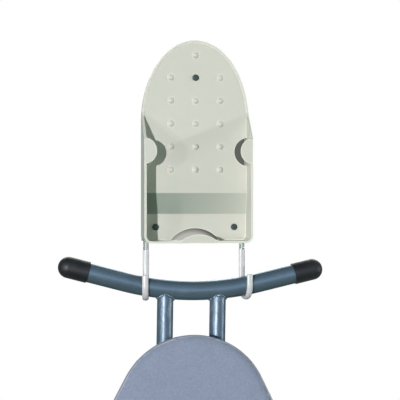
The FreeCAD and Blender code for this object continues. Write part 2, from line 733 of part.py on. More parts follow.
def make_board_mesh():
    """Perforated steel top of the board, with staggered rows of hexagonal holes."""
    border = Part.Face(board_outline(MESH_BORDER, RIM_FRONT_Y))
    holes = []
    column_pitch = MESH_PITCH * math.cos(math.pi / 6)
    columns = int(BOARD_HALF_WIDTH / column_pitch)
    rows = int(BOARD_LENGTH / MESH_PITCH)
    for column in range(-columns, columns + 1):
        stagger = MESH_PITCH / 2 * (column % 2)
        for row in range(rows):
            x = column * column_pitch
            z = NOSE_Z - stagger - row * MESH_PITCH
            if border.isInside(vec(x, RIM_FRONT_Y, z), EDGE_TOLERANCE, True):
                holes.append(hexagon(x, z, RIM_FRONT_Y))
    sheet = Part.Face([board_outline(RIM_WALL + RIM_CLEARANCE, RIM_FRONT_Y)] + holes)
    return sheet.extrude(vec(0, MESH_THICKNESS, 0))


def make_board_braces():
    """Channel-section cross members under the mesh, between the walls of the rim."""
    inside = board_slab(RIM_WALL + RIM_CLEARANCE, (BRACE_BACK_Y, SHEET_FRONT_Y))
    braces = []
    for u in BRACE_PLACES:
        z = NOSE_Z - u
        half = BRACE_HALF_WIDTH
        block = box((-FAR, FAR), (BRACE_BACK_Y, SHEET_FRONT_Y), (z - half, z + half))
        channel = box((-FAR, FAR), (BRACE_BACK_Y - RIM_WALL, SHEET_FRONT_Y - OVERCUT),
                      (z - half + RIM_WALL, z + half - RIM_WALL))
        braces.append(block.cut(channel).common(inside))
    return Part.makeCompound(braces)


def make_pivot_bracket():
    """U-shaped bracket under the board that holds the front leg's pivot pin."""
    half = BRACKET_HALF_WIDTH
    base = box((-half, half), (SHEET_FRONT_Y, SHEET_FRONT_Y + SHEET),
               (BOARD_PIVOT_Z - BRACKET_HALF_HEIGHT, BOARD_PIVOT_Z + BRACKET_HALF_HEIGHT))
    ears = []
    for inner_x in (half - SHEET, -half):
        outer_x = inner_x + SHEET
        web = side_prism([
            (SHEET_FRONT_Y, BOARD_PIVOT_Z - BRACKET_HALF_HEIGHT),
            (SHEET_FRONT_Y, BOARD_PIVOT_Z + BRACKET_HALF_HEIGHT),
            (PIVOT_LINE_Y, BOARD_PIVOT_Z + BRACKET_EAR_RADIUS),
            (PIVOT_LINE_Y, BOARD_PIVOT_Z - BRACKET_EAR_RADIUS),
        ], (inner_x, outer_x))
        place = ((inner_x, outer_x), PIVOT_LINE_Y, BOARD_PIVOT_Z)
        ear = web.fuse(rod_along_x(*place, BRACKET_EAR_RADIUS))
        ears.append(ear.cut(rod_along_x(*place, PIN_RADIUS + FIT)))
    return base.multiFuse(ears).removeSplitter()


def make_pivot_pin():
    half = FRONT_LEG_X - FRONT_LEG_RADIUS + LUG_THICKNESS
    return rod_along_x((-half, half), PIVOT_LINE_Y, BOARD_PIVOT_Z, PIN_RADIUS)


def make_pivot_clips():
    return pair(end_clip(FRONT_LEG_X - FRONT_LEG_RADIUS + CLIP_GAP, BOARD_PIVOT_Z))


def make_rack_rail():
    """Slotted plate with height notches and a flange that joins it to the mesh."""
    x_range = (RAIL_X - SHEET / 2, RAIL_X + SHEET / 2)
    plate = box(x_range, (RAIL_BACK_Y, SHEET_FRONT_Y), (RAIL_TOP_Z, RAIL_BOTTOM_Z))
    flange = box((x_range[0], x_range[1] + RAIL_FLANGE), (SHEET_FRONT_Y, SHEET_FRONT_Y + SHEET),
                 (RAIL_TOP_Z, RAIL_BOTTOM_Z))
    radius = RAIL_SLOT_HALF_WIDTH
    cut_range = (x_range[0] - OVERCUT, x_range[1] + OVERCUT)
    slot_depths = (PIVOT_LINE_Y - radius, PIVOT_LINE_Y + radius)
    cuts = [box(cut_range, slot_depths, (RAIL_SLOT_TOP_Z, RAIL_SLOT_BOTTOM_Z))]
    cuts += [rod_along_x(cut_range, PIVOT_LINE_Y, z, radius) for z in (RAIL_SLOT_TOP_Z, RAIL_SLOT_BOTTOM_Z)]
    for step in range(NOTCH_COUNT):
        notch_z = NOTCH_FIRST_Z - NOTCH_PITCH * step
        cuts.append(rod_along_x(cut_range, PIVOT_LINE_Y - NOTCH_DEPTH, notch_z, radius))
    return plate.fuse(flange).cut(cuts).removeSplitter()


def make_right_rail():
    """Right rail with two bent ears that hold the hinge rod."""
    rail = make_rack_rail()
    ears = []
    for z in (RAIL_TOP_Z - SHEET, RAIL_BOTTOM_Z):
        depths = (HINGE_Y - KNUCKLE_RADIUS, HINGE_Y + KNUCKLE_RADIUS)
        ear = box((HINGE_X - KNUCKLE_RADIUS, RAIL_X), depths, (z, z + SHEET))
        hole = rod_along_z(HINGE_X, HINGE_Y, (z - OVERCUT, z + SHEET + OVERCUT), HINGE_ROD_RADIUS + FIT)
        ears.append(ear.cut(hole))
    return rail.multiFuse(ears).removeSplitter()


def make_left_rail():
    return mirrored(make_rack_rail())


def make_board_pad():
    return board_slab(0, (PAD_BACK_Y, PAD_FRONT_Y))


def make_board_cover():
    """Cover over the pad, down the rim and turned under it as a hem."""
    front_y = PAD_FRONT_Y - COVER_GAP - COVER_THICKNESS
    hem_front_y = RIM_BACK_Y + COVER_GAP
    hem_back_y = hem_front_y + COVER_THICKNESS
    outer = board_slab(-COVER_GAP - COVER_THICKNESS, (front_y, hem_back_y))
    inner = board_slab(-COVER_GAP, (front_y + COVER_THICKNESS, hem_front_y))
    opening = board_slab(HEM_WIDTH, (hem_front_y - OVERCUT, hem_back_y + OVERCUT))
    return outer.cut([inner, opening])


def make_cover_cord():
    """Drawcord around the inner edge of the hem."""
    return swept_round(board_outline(CORD_INSET, CORD_Y), CORD_RADIUS)


def make_cord_lock():
    """Barrel lock on the drawcord at the tail of the board."""
    z = NOSE_Z - BOARD_LENGTH + CORD_INSET
    half = CORD_LOCK_LENGTH / 2
    y = CORD_Y + CORD_LOCK_RADIUS - 2 * CORD_RADIUS
    barrel = with_round_ends(rod_along_x((-half, half), y, z, CORD_LOCK_RADIUS), CORD_LOCK_ROUND)
    return barrel.cut(rod_along_x((-half - OVERCUT, half + OVERCUT), CORD_Y, z, CORD_RADIUS + FIT))


# Height lever -------------------------------------------------------------------------------------------

def make_hinge_rod():
    return rod_along_z(HINGE_X, HINGE_Y, (RAIL_BOTTOM_Z - SHEET, RAIL_TOP_Z + SHEET), HINGE_ROD_RADIUS)


def make_keeper():
    """Hinged plate behind the crossbar, with rolled knuckles and a tongue for the lever."""
    half = KEEPER_THICKNESS / 2
    depths = (HINGE_Y - half, HINGE_Y + half)
    plate = box((KEEPER_LEFT_X, KEEPER_RIGHT_X), depths, (KEEPER_TOP_Z, KEEPER_BOTTOM_Z))
    tongue = box((KEEPER_LEFT_X, TONGUE_RIGHT_X), depths, (KEEPER_BOTTOM_Z, TONGUE_BOTTOM_Z))
    joins = []
    for z_range in KNUCKLES:
        joins.append(rod_along_z(HINGE_X, HINGE_Y, z_range, KNUCKLE_RADIUS))
        joins.append(box((0, HINGE_X), depths, z_range))
    bore = rod_along_z(HINGE_X, HINGE_Y, (RAIL_BOTTOM_Z, RAIL_TOP_Z), HINGE_ROD_RADIUS + FIT)
    return plate.multiFuse([tongue] + joins).cut(bore).removeSplitter()


def lever_path():
    """Centre line of the lever from the keeper's tongue to its grip at the board's right edge."""
    tongue_y = HINGE_Y - KEEPER_THICKNESS / 2 - LEVER_RADIUS
    return [
        vec(LEVER_START_X, tongue_y, LEVER_START_Z),
        vec(LEVER_START_X, tongue_y, LEVER_TURN_Z),
        vec(LEVER_DROP_X, LEVER_CLEAR_Y, LEVER_Z),
        vec(LEVER_RISE_X, LEVER_CLEAR_Y, LEVER_Z),
        vec(LEVER_LEVEL_X, LEVER_GRIP_Y, LEVER_Z),
        vec(LEVER_END_X, LEVER_GRIP_Y, LEVER_Z),
    ]


def make_lever_arm():
    return swept_round(bent_path(lever_path(), LEVER_BEND_RADIUS), LEVER_RADIUS)


def make_lever_grip():
    """Plastic grip over the end of the lever."""
    end = lever_path()[-1]
    start = end - vec(GRIP_LENGTH, 0, 0)
    grip = with_round_ends(rod(start, end + vec(GRIP_TIP_THICKNESS, 0, 0), GRIP_RADIUS), GRIP_ROUND)
    return grip.cut(rod(start - vec(OVERCUT, 0, 0), end, LEVER_RADIUS))


def make_lever_spring():
    """Torsion spring on the hinge rod that pushes the keeper against the crossbar."""
    length = SPRING_PITCH * SPRING_TURNS
    helix = Part.makeHelix(SPRING_PITCH, length, SPRING_RADIUS)
    profile = Part.Wire(Part.makeCircle(SPRING_WIRE_RADIUS, vec(SPRING_RADIUS, 0, 0), vec(0, 1, 0)))
    coil = Part.Wire(helix).makePipeShell([profile], True, True)
    coil.translate(vec(HINGE_X, HINGE_Y, SPRING_TOP_Z - length))
    leg_start = vec(HINGE_X + SPRING_RADIUS, HINGE_Y, SPRING_TOP_Z)
    leg = rod(leg_start, leg_start + vec(*SPRING_LEG), SPRING_WIRE_RADIUS)
    return coil.fuse(leg)


def make_hanger_parts():
    """The sub-parts on the wall, by node name."""
    hook_wire = make_hook_wire()
    hook_sleeve = make_hook_sleeve(hook_wire)
    return {
        "tray": make_tray(),
        "wall_screws": make_wall_screws(),
        "wall_plugs": make_wall_plugs(),
        "hook_wire_right": hook_wire,
        "hook_wire_left": mirrored(hook_wire),
        "hook_sleeve_right": hook_sleeve,
        "hook_sleeve_left": mirrored(hook_sleeve),
    }


def make_board_parts():
    """The sub-parts of the ironing board, by node name."""
    front_cap = make_foot_cap(FRONT_FOOT_Z, 1)
    rear_cap = make_foot_cap(REAR_FOOT_Z, -1)
    front_tube = make_front_leg_tube()
    rear_tube = make_rear_leg_tube()
    return {
        "front_foot_tube": make_foot_tube(FRONT_FOOT_Z, 1),
        "front_foot_cap_right": front_cap,
        "front_foot_cap_left": mirrored(front_cap),
        "front_leg_tube_right": front_tube,
        "front_leg_tube_left": mirrored(front_tube),
        "front_leg_brace": make_front_leg_brace(),
        "front_pivot_lugs": make_front_pivot_lugs(),
        "scissor_bolts": make_scissor_bolts(),
        "scissor_nuts": make_scissor_nuts(),
        "scissor_spacers": make_scissor_spacers(),
        "rear_foot_tube": make_foot_tube(REAR_FOOT_Z, -1),
        "rear_foot_cap_right": rear_cap,
        "rear_foot_cap_left": mirrored(rear_cap),
        "rear_leg_tube_right": rear_tube,
        "rear_leg_tube_left": mirrored(rear_tube),
        "rear_leg_brace": make_rear_leg_brace(),
        "rear_pivot_lugs": make_rear_pivot_lugs(),
        "crossbar": make_crossbar(),
        "crossbar_clips": make_crossbar_clips(),
        "board_rim": make_board_rim(),
        "board_mesh": make_board_mesh(),
        "board_braces": make_board_braces(),
        "pivot_bracket": make_pivot_bracket(),
        "pivot_pin": make_pivot_pin(),
        "pivot_clips": make_pivot_clips(),
        "rack_rail_right": make_right_rail(),
        "rack_rail_left": make_left_rail(),
        "board_pad": make_board_pad(),
        "board_cover": make_board_cover(),
        "cover_cord": make_cover_cord(),
        "cord_lock": make_cord_lock(),
        "keeper_hinge_rod": make_hinge_rod(),
        "keeper": make_keeper(),
        "lever_arm": make_lever_arm(),
        "lever_grip": make_lever_grip(),
        "lever_spring": make_lever_spring(),
    }


def hung(shape):
    """A shape of the board, turned about the centre of the front foot's bend as it lies in the hooks."""
    return shape.rotated(vec(0, 0, FRONT_FOOT_Z + FOOT_BEND_RADIUS), vec(0, 1, 0), HANG_ANGLE)


def main():
    os.makedirs("parts", exist_ok=True)
    parts = make_hanger_parts()
    parts.update((name, hung(shape)) for name, shape in make_board_parts().items())
    for name, shape in parts.items():
        shape.exportStep(os.path.join("parts", name + ".step"))


main()
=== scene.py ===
"""Looks for a wall hanger with an iron tray and the folding ironing board that hangs from its hooks."""

import json
import math
import random

import bmesh
import bpy
import numpy as np
from mathutils import Matrix, Vector, noise
from mathutils.bvhtree import BVHTree
from mathutils.kdtree import KDTree


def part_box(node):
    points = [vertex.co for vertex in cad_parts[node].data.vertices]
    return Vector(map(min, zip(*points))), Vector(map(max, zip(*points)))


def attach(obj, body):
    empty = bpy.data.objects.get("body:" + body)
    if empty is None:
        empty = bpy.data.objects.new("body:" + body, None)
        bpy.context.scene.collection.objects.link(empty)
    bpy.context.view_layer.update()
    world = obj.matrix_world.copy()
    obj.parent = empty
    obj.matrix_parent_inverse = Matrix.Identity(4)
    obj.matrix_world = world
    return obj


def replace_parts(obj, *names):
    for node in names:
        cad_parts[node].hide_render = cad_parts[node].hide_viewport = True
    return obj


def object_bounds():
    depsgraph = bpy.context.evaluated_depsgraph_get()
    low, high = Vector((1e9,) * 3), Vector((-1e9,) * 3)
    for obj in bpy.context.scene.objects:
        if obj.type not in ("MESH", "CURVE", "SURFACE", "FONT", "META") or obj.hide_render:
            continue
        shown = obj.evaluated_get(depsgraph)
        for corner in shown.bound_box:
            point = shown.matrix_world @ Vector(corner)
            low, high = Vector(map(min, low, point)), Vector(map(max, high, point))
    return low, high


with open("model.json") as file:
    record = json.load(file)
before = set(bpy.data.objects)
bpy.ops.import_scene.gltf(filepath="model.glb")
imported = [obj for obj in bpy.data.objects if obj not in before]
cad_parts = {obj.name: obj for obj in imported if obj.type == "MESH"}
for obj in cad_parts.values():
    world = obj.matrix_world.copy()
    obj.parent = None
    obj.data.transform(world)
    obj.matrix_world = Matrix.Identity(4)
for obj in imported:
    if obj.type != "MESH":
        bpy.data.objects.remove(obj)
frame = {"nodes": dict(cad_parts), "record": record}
CAD_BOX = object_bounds()
NODES = frame["nodes"]
MM = 0.001

# Softened edges of the CAD nodes
EDGE_ROUND = {
    "tray": 0.9 * MM,
    "hook_wire": 0.2 * MM,
    "wall_screws": 0.15 * MM,
    "foot_cap": 0.8 * MM,
    "lever_grip": 0.4 * MM,
}
EDGE_ROUND_OTHERS = 0.3 * MM
EDGE_SEGMENTS = 2
SHARP_ANGLE = math.radians(32)
FLAT_ANGLE = math.radians(0.4)      # facets that turn less than this are one face
JOIN_DISTANCE = 0.02 * MM

# Board outline and leg tubes, as in the CAD source, before the board is hung
NOSE_Z = -170 * MM
BOARD_LENGTH = 1200 * MM
BOARD_HALF_WIDTH = 165 * MM
NOSE_RADIUS = 120 * MM
TAPER_ANGLE = math.radians(27)
SIDE_CURVE_RADIUS = 400 * MM
TAIL_CORNER_RADIUS = 60 * MM
LEG_PLANE_Y = -25.5 * MM
LEG_TUBES = {"front": (42.5 * MM, 13 * MM), "rear": (72 * MM, 12.5 * MM)}
HANG_CENTRE = Vector((0, 0, 348.4 * MM))
HANG_ANGLE = math.radians(0.9)
HANG = (Matrix.Translation(HANG_CENTRE) @ Matrix.Rotation(HANG_ANGLE, 4, "Y")
        @ Matrix.Translation(-HANG_CENTRE))
OUTLINE_STEP = 2.4 * MM
ARC_POINTS = 60

# Cover, pad and casing. Insets are measured inwards from the board's outline.
COVER_PROFILE = ((8.0, -76.1), (4.6, -75.7), (2.4, -74.6), (0.9, -72.8), (-0.4, -70.0), (-0.5, -62.0),
                 (-0.4, -56.6), (1.2, -55.0), (4.0, -54.7))
PAD_PROFILE = ((16.0, -74.9), (11.0, -74.6), (7.5, -73.4), (6.6, -71.9), (7.5, -70.7), (9.5, -70.15))
COVER_VOXEL = 6 * MM
COVER_PRESSURE = 4.0
COVER_STIFFNESS = {"tension_stiffness": 25, "compression_stiffness": 8, "bending_stiffness": 0.6}
COVER_FRAMES = 20
COVER_TRAVEL = 2.0 * MM
COVER_SHEET = 0.9 * MM
COVER_OUTSET = 1.35 * MM            # outside of the sheet, beyond the rim
HEM_BACK_Y = -54.8 * MM
RIM_SIDE = (-70.5 * MM, -56.0 * MM)
HEM_START_Y = -62 * MM
HEM_BLEND = 7 * MM
HEM_REACH = 26.5 * MM
PLEAT_LENGTH = 15 * MM
PLEAT_DEPTH = 1.5 * MM
PLEAT_STRAIGHT_SHARE = 0.35         # of the depth that is left where the outline runs straight
WAVE_HEIGHT = 0.35 * MM
WAVE_DENSITY = 11                   # noise cells in a metre
PUCKER_DENSITY = 75
PUCKER_REACH = 18 * MM
CASING_INSET = 28.5 * MM
CASING_Y = -54.4 * MM
CASING_RADIUS = 2.7 * MM
CASING_SHEET = 0.5 * MM
CASING_GAP = 18 * MM                # half the opening where the cord comes out
CASING_MOUTH = 4 * MM
CASING_FLARE = 0.18                 # of the radius, at the mouths
GATHER_PITCH = 9 * MM
GATHER_DEPTH = 0.09
CORD_RADIUS = 1.35 * MM
STITCH_INSET = 24.3 * MM
STITCH_PITCH = 4.2 * MM
STITCH_LENGTH = 2.8 * MM
STITCH_RADIUS = 0.35 * MM
STITCH_RINGS = 5
STITCH_SIDES = 6
THREAD_PITCH = 0.9 * MM
CORD_THREAD_PITCH = 1.1 * MM

# Tray
TRAY_HALF_WIDTH = 87 * MM
STEP_TOP_Z = 54 * MM
STEP_BOTTOM_Z = 22 * MM
STEP_BLUR = 1.5 * MM
STEP_LEAN = (-0.03, -0.07)          # how far the normal points down, from no tint to the full tint
STEP_RIGHT_SHARE = 0.35
CREASE_APEX = (-19 * MM, 142 * MM)  # lowest point of the V, a shade that looks like a crease
CREASE_SLOPES = (-0.65, 0.42)
CREASE_WIDTH = 3 * MM
CREASE_REACH = 45 * MM
SLOT_BACK = ((-85 * MM, 85 * MM), (-22 * MM, 150 * MM), 0.6 * MM)
SLOT_ARC_CENTRE = (-2 * MM, 0.6 * MM, -53 * MM)     # of the bottom slot's upper edge, seen past the floor
SLOT_ARC_RADIUS = 51 * MM
SLOT_ARC_FADE = 9 * MM

# Welds
WELD_BELOW_END = 16 * MM            # of the leg tube
WELD_SEARCH = 0.1                   # start of the search for the foot's surface, beyond the foot
WELD_STEPS = 96
WELD_SIDES = 10
WELD_RIPPLES = 17
WELD_RADIUS = 2.0 * MM
WELD_RIPPLE = 0.35 * MM
WELD_UNEVENNESS = 0.4 * MM

# Camera and stage
CAMERA_AZIMUTH = math.radians(-9.0)
CAMERA_DISTANCE = 2.1
CAMERA_LENS = 118.0
CAMERA_AIM = Vector((0.006, -0.028, 0.0435))
FLOOR_DROP = 0.12
FLOOR_SIZE = 10.0
FLOOR_FADE = (2.6, 4.8)
FLOOR_GLOW = 0.55
SUNS = (    # name, azimuth and elevation in degrees, strength, width in degrees, colour
    ("key", -27.5, 3, 2.65, 1.2, (1.0, 0.97, 0.95)),
    ("left_fill", -55, 2, 0.42, 4, (1.0, 1.0, 0.93)),
    ("right_fill", 71.5, 1.5, 0.75, 3, (1.0, 0.99, 0.95)),
    ("back_fill", 170, 25, 1.4, 50, (0.97, 1.0, 1.0)),
)


def srgb(red, green, blue):
    """Linear colour from 0-255 screen values."""
    linear = []
    for value in (red, green, blue):
        share = value / 255
        linear.append(share / 12.92 if share <= 0.04045 else ((share + 0.055) / 1.055) ** 2.4)
    return (*linear, 1.0)


def shade(colour, factor):
    """A colour made lighter or darker."""
    return (*[min(1.0, channel * factor) for channel in colour[:3]], 1.0)


# What metal mirrors, from straight up (0) to straight down (1)
ROOM_BANDS = (
    (0.0, srgb(60, 70, 84)),
    (0.22, srgb(120, 138, 160)),
    (0.44, srgb(190, 205, 228)),
    (0.54, srgb(176, 192, 214)),
    (0.62, srgb(70, 82, 84)),
    (0.74, srgb(30, 38, 36)),
)
ROOM_MIRRORED = 1.0
WALL_MIRRORED = 0.3
WALL_EDGE = (-0.2, 0.4)             # of the ray's part along y, from the wall's side to the room's
ROOM_FILL_COLOUR = srgb(190, 234, 202)
ROOM_FILL = 0.24

CREAM = srgb(211, 211, 205)
SLATE_PAINT = srgb(109, 131, 150)
LAVENDER = srgb(152, 160, 191)


# Material helpers ---------------------------------------------------------------------------------

class Shader:
    """One node material, built from small named steps."""

    def __init__(self, name, **surface):
        self.material = bpy.data.materials.new(name)
        self.material.use_nodes = True
        self.tree = self.material.node_tree
        self.surface = self.tree.nodes["Principled BSDF"]
        self.place = self.node("TexCoord").outputs["Object"]
        self.set(**surface)

    def set(self, **surface):
        """Sets inputs of the surface. An underscore in a name stands for a space."""
        for name, value in surface.items():
            self.feed(self.surface, name.replace("_", " "), value)

    def feed(self, node, name, value):
        """Gives an input a value, or links it to another node's output."""
        socket = node.inputs[name]
        if isinstance(value, bpy.types.NodeSocket):
            self.tree.links.new(value, socket)
        else:
            socket.default_value = value

    def node(self, kind, inputs=None, **attributes):
        made = self.tree.nodes.new("ShaderNode" + kind)
        for name, value in attributes.items():
            setattr(made, name, value)
        for name, value in (inputs or {}).items():
            self.feed(made, name, value)
        return made

    def stretched(self, x, y, z, vector=None):
        """Coordinates scaled by a factor on each axis."""
        inputs = {"Vector": vector or self.place, "Scale": (x, y, z)}
        return self.node("Mapping", inputs).outputs["Vector"]

    def noise(self, scale, detail=2.0, roughness=0.5, vector=None):
        inputs = {"Vector": vector or self.place, "Scale": scale, "Detail": detail, "Roughness": roughness}
        return self.node("TexNoise", inputs).outputs["Fac"]

    def cells(self, scale):
        """A random colour for each cell."""
        return self.node("TexVoronoi", {"Vector": self.place, "Scale": scale}).outputs["Color"]

    def math(self, operation, first, second=0.0):
        made = self.node("Math", operation=operation)
        self.feed(made, 0, first)
        self.feed(made, 1, second)
        return made.outputs["Value"]

    def span(self, value, low, high, to_low=0.0, to_high=1.0):
        """A value moved from one range to another, and held inside it."""
        inputs = {"Value": value, "From Min": low, "From Max": high, "To Min": to_low, "To Max": to_high}
        return self.node("MapRange", inputs).outputs["Result"]

    def mix(self, share, first, second):
        """A colour between two others, by a share. The inputs go by number, because their names repeat."""
        made = self.node("Mix", data_type="RGBA")
        self.feed(made, 0, share)
        self.feed(made, 6, first)
        self.feed(made, 7, second)
        return made.outputs[2]

    def between(self, share, first, second):
        """A value between two others, by a share."""
        made = self.node("Mix", {"Factor": share, "A": first, "B": second}, data_type="FLOAT")
        return made.outputs["Result"]

    def axis(self, name, vector=None):
        return self.node("SeparateXYZ", {"Vector": vector or self.place}).outputs[name]

    def distance(self, point):
        """How far the surface is from a point."""
        return self.node("VectorMath", {0: self.place, 1: point}, operation="DISTANCE").outputs["Value"]

    def bump(self, height, distance, strength=1.0, under=None):
        """Surface relief of a real height, on top of an earlier relief."""
        inputs = {"Height": height, "Distance": distance, "Strength": strength}
        if under is not None:
            inputs["Normal"] = under
        return self.node("Bump", inputs).outputs["Normal"]

    def crevice(self, distance):
        """1 in the open, less in corners that light hardly reaches."""
        return self.node("AmbientOcclusion", {"Distance": distance}, samples=6).outputs["AO"]

    def sharp_edges(self, radius, low, high):
        """Rises towards 1 where the surface turns sharply."""
        bevel = self.node("Bevel", {"Radius": radius}, samples=4).outputs["Normal"]
        flat = self.node("NewGeometry").outputs["Normal"]
        made = self.node("VectorMath", {0: bevel, 1: flat}, operation="DOT_PRODUCT")
        return self.span(self.math("SUBTRACT", 1.0, made.outputs["Value"]), low, high)


def step_shade(shader):
    """Share of the painted shade on the face of the tray's step, which looks down: deepest at its left."""
    normal = shader.node("NewGeometry").outputs["Normal"]
    looks_down = shader.span(shader.axis("Z", normal), *STEP_LEAN)
    within = shader.math("MULTIPLY", shader.span(shader.axis("Z"), STEP_BOTTOM_Z - STEP_BLUR, STEP_BOTTOM_Z),
                         shader.span(shader.axis("Z"), STEP_TOP_Z + STEP_BLUR, STEP_TOP_Z))
    fade = shader.span(shader.axis("X"), -TRAY_HALF_WIDTH, TRAY_HALF_WIDTH, 1.0, STEP_RIGHT_SHARE)
    return shader.math("MULTIPLY", shader.math("MULTIPLY", looks_down, within), fade)


def crease_shade(shader):
    """Share of the V-shaped shade on the tray's floor: full at its upper edge and gone further down."""
    apex_x, apex_z = CREASE_APEX
    across = shader.math("SUBTRACT", shader.axis("X"), apex_x)
    left, right = (shader.math("MULTIPLY", across, slope) for slope in CREASE_SLOPES)
    crease = shader.math("ADD", shader.math("MAXIMUM", left, right), apex_z)
    below = shader.math("SUBTRACT", crease, shader.axis("Z"))
    return shader.math("MULTIPLY", shader.span(below, 0.0, CREASE_WIDTH),
                       shader.span(below, CREASE_WIDTH, CREASE_REACH, 1.0, 0.0))


def tray_plastic():
    """Cream moulded plastic: fine eroded grain, painted shade in corners, painted highlight on edges."""
    shader = Shader("tray_plastic", Subsurface_Weight=0.06, Subsurface_Scale=0.004, IOR=1.49)
    blotch = shader.span(shader.noise(14, 3), 0.3, 0.7)
    tint = shader.mix(blotch, CREAM, shade(CREAM, 0.965))
    speck = shader.span(shader.noise(1400, 1), 0.35, 0.65)
    tint = shader.mix(speck, tint, shade(CREAM, 0.94))
    # Painted shade in the corners that the occlusion node finds, stronger in streaks.
    crevice_shade = shader.span(shader.crevice(0.02), 0.25, 0.95, 0.35, 0.0)
    streak = shader.span(shader.noise(60, 4), 0.35, 0.7, 0.3, 1.0)
    tint = shader.mix(shader.math("MULTIPLY", crevice_shade, streak), tint, srgb(176, 178, 158))
    # Painted highlight along the rim's sharp edges.
    tint = shader.mix(shader.sharp_edges(0.003, 0.01, 0.14), tint, shade(CREAM, 1.4))
    tint = shader.mix(crease_shade(shader), tint, shade(CREAM, 0.91))
    # Painted shade on the step's face, which looks down.
    tint = shader.mix(step_shade(shader), tint, srgb(138, 151, 141))
    grain = shader.bump(shader.noise(1700, 2), 0.00012, 0.5)
    wave = shader.bump(shader.noise(34, 2), 0.0006, 0.25, grain)
    shader.set(Base_Color=tint, Roughness=shader.span(shader.noise(90, 3), 0.3, 0.7, 0.36, 0.5), Normal=wave)
    return shader.material


def hook_coating():
    """White dipped vinyl, soft and glossy, with slow runs along it."""
    white = srgb(214, 213, 221)
    shader = Shader("hook_coating", Subsurface_Weight=0.12, Subsurface_Scale=0.003, Coat_Weight=0.25)
    runs = shader.noise(1, 3, 0.5, shader.stretched(420, 420, 90))
    tint = shader.mix(shader.span(runs, 0.3, 0.7), white, shade(white, 0.93))
    # Painted shade in the sleeve's crevices.
    crevice_shade = shader.span(shader.crevice(0.008), 0.3, 0.9, 0.35, 0.0)
    tint = shader.mix(crevice_shade, tint, srgb(150, 152, 150))
    shader.set(Base_Color=tint, Roughness=shader.span(shader.noise(160, 2), 0.3, 0.7, 0.22, 0.38),
               Normal=shader.bump(runs, 0.0004, 0.6))
    return shader.material


def plated_wire():
    """Bright plated wire with drawing marks along its length."""
    shader = Shader("plated_wire", Metallic=1.0)
    marks = shader.noise(1, 3, 0.6, shader.stretched(2600, 2600, 60))
    tint = shader.mix(shader.span(marks, 0.3, 0.7), srgb(122, 134, 128), srgb(78, 88, 84))
    shader.set(Base_Color=tint, Roughness=shader.span(marks, 0.25, 0.75, 0.22, 0.38),
               Normal=shader.bump(marks, 0.00005, 0.6))
    return shader.material


def paint_layers(shader, colour):
    """Metallic enamel: flakes, cloudy patches and orange peel. Returns its colour, roughness and relief."""
    flakes = shader.cells(2600)
    sparkle = shader.span(shader.axis("X", flakes), 0.1, 1.0)
    tint = shader.mix(sparkle, shade(colour, 0.8), shade(colour, 1.25))
    cloud = shader.span(shader.noise(22, 3), 0.3, 0.7)
    tint = shader.mix(shader.math("MULTIPLY", cloud, 0.2), tint, shade(colour, 0.78))
    rough = shader.span(shader.noise(70, 4), 0.3, 0.7, 0.28, 0.38)
    peel = shader.bump(shader.noise(260, 2), 0.00025, 0.35)
    return tint, rough, peel


def leg_paint():
    """Blue-grey metallic enamel on the tubes."""
    shader = Shader("leg_paint", Metallic=0.6, Coat_Weight=0.3, Coat_Roughness=0.2)
    tint, rough, peel = paint_layers(shader, shade(SLATE_PAINT, 1.04))
    patchy = shader.span(shader.noise(240, 4), 0.42, 0.62)
    rub = shader.math("MULTIPLY", shader.sharp_edges(0.0012, 0.02, 0.3), patchy)
    tint = shader.mix(rub, tint, srgb(150, 156, 162))
    shader.set(Base_Color=tint, Roughness=rough, Normal=peel)
    return shader.material


def scuffed_and_highlit_leg_paint(weld_z):
    """The same enamel on the leg tubes, with pale streaks near the weld: partly scuffs, partly a painted
    highlight.
    """
    shader = Shader("leg_paint_scuffed_and_highlit", Metallic=0.5, Coat_Weight=0.08, Coat_Roughness=0.3)
    tint, rough, peel = paint_layers(shader, shade(SLATE_PAINT, 0.76))
    height = shader.math("SUBTRACT", shader.axis("Z"), weld_z)
    # Streaks near the weld: scuffed paint and a painted highlight.
    near = shader.span(shader.math("ABSOLUTE", height), 0.008, 0.06, 0.45, 0.0)
    streaks = shader.span(shader.noise(1, 5, 0.65, shader.stretched(150, 150, 55)), 0.47, 0.62)
    rub = shader.math("MULTIPLY", near, streaks)
    tint = shader.mix(rub, tint, srgb(160, 174, 194))
    dents = shader.bump(shader.noise(1, 3, 0.5, shader.stretched(90, 90, 40)), 0.0004, 0.3, peel)
    rough = shader.math("ADD", rough, 0.06)
    shader.set(Base_Color=tint, Roughness=shader.between(rub, rough, 0.4), Normal=dents)
    return shader.material


def weld_metal():
    """Painted weld bead: the enamel over a rough, rippled surface, with pale blotches of painted highlight.
    """
    shader = Shader("weld_metal", Metallic=0.6, Coat_Weight=0.4, Coat_Roughness=0.2)
    tint, rough, peel = paint_layers(shader, shade(SLATE_PAINT, 1.1))
    # Pale blotches of painted highlight.
    painted_glints = shader.span(shader.noise(380, 4), 0.5, 0.66)
    tint = shader.mix(painted_glints, tint, srgb(205, 212, 222))
    shader.set(Base_Color=tint, Roughness=rough, Normal=shader.bump(shader.noise(420, 4), 0.0007, 0.8, peel))
    return shader.material


def frame_paint():
    """Light grey powder coat on the board's frame."""
    grey = srgb(196, 198, 200)
    shader = Shader("frame_paint", Coat_Weight=0.1)
    tint = shader.mix(shader.span(shader.noise(30, 3), 0.3, 0.7), grey, shade(grey, 0.9))
    patchy = shader.span(shader.noise(200, 4), 0.5, 0.68)
    rub = shader.math("MULTIPLY", shader.sharp_edges(0.0008, 0.02, 0.35), patchy)
    tint = shader.mix(rub, tint, srgb(132, 132, 130))
    texture = shader.bump(shader.noise(900, 2), 0.00018, 0.6)
    rough = shader.span(shader.noise(110, 3), 0.3, 0.7, 0.42, 0.6)
    shader.set(Base_Color=tint, Roughness=rough, Normal=texture)
    return shader.material


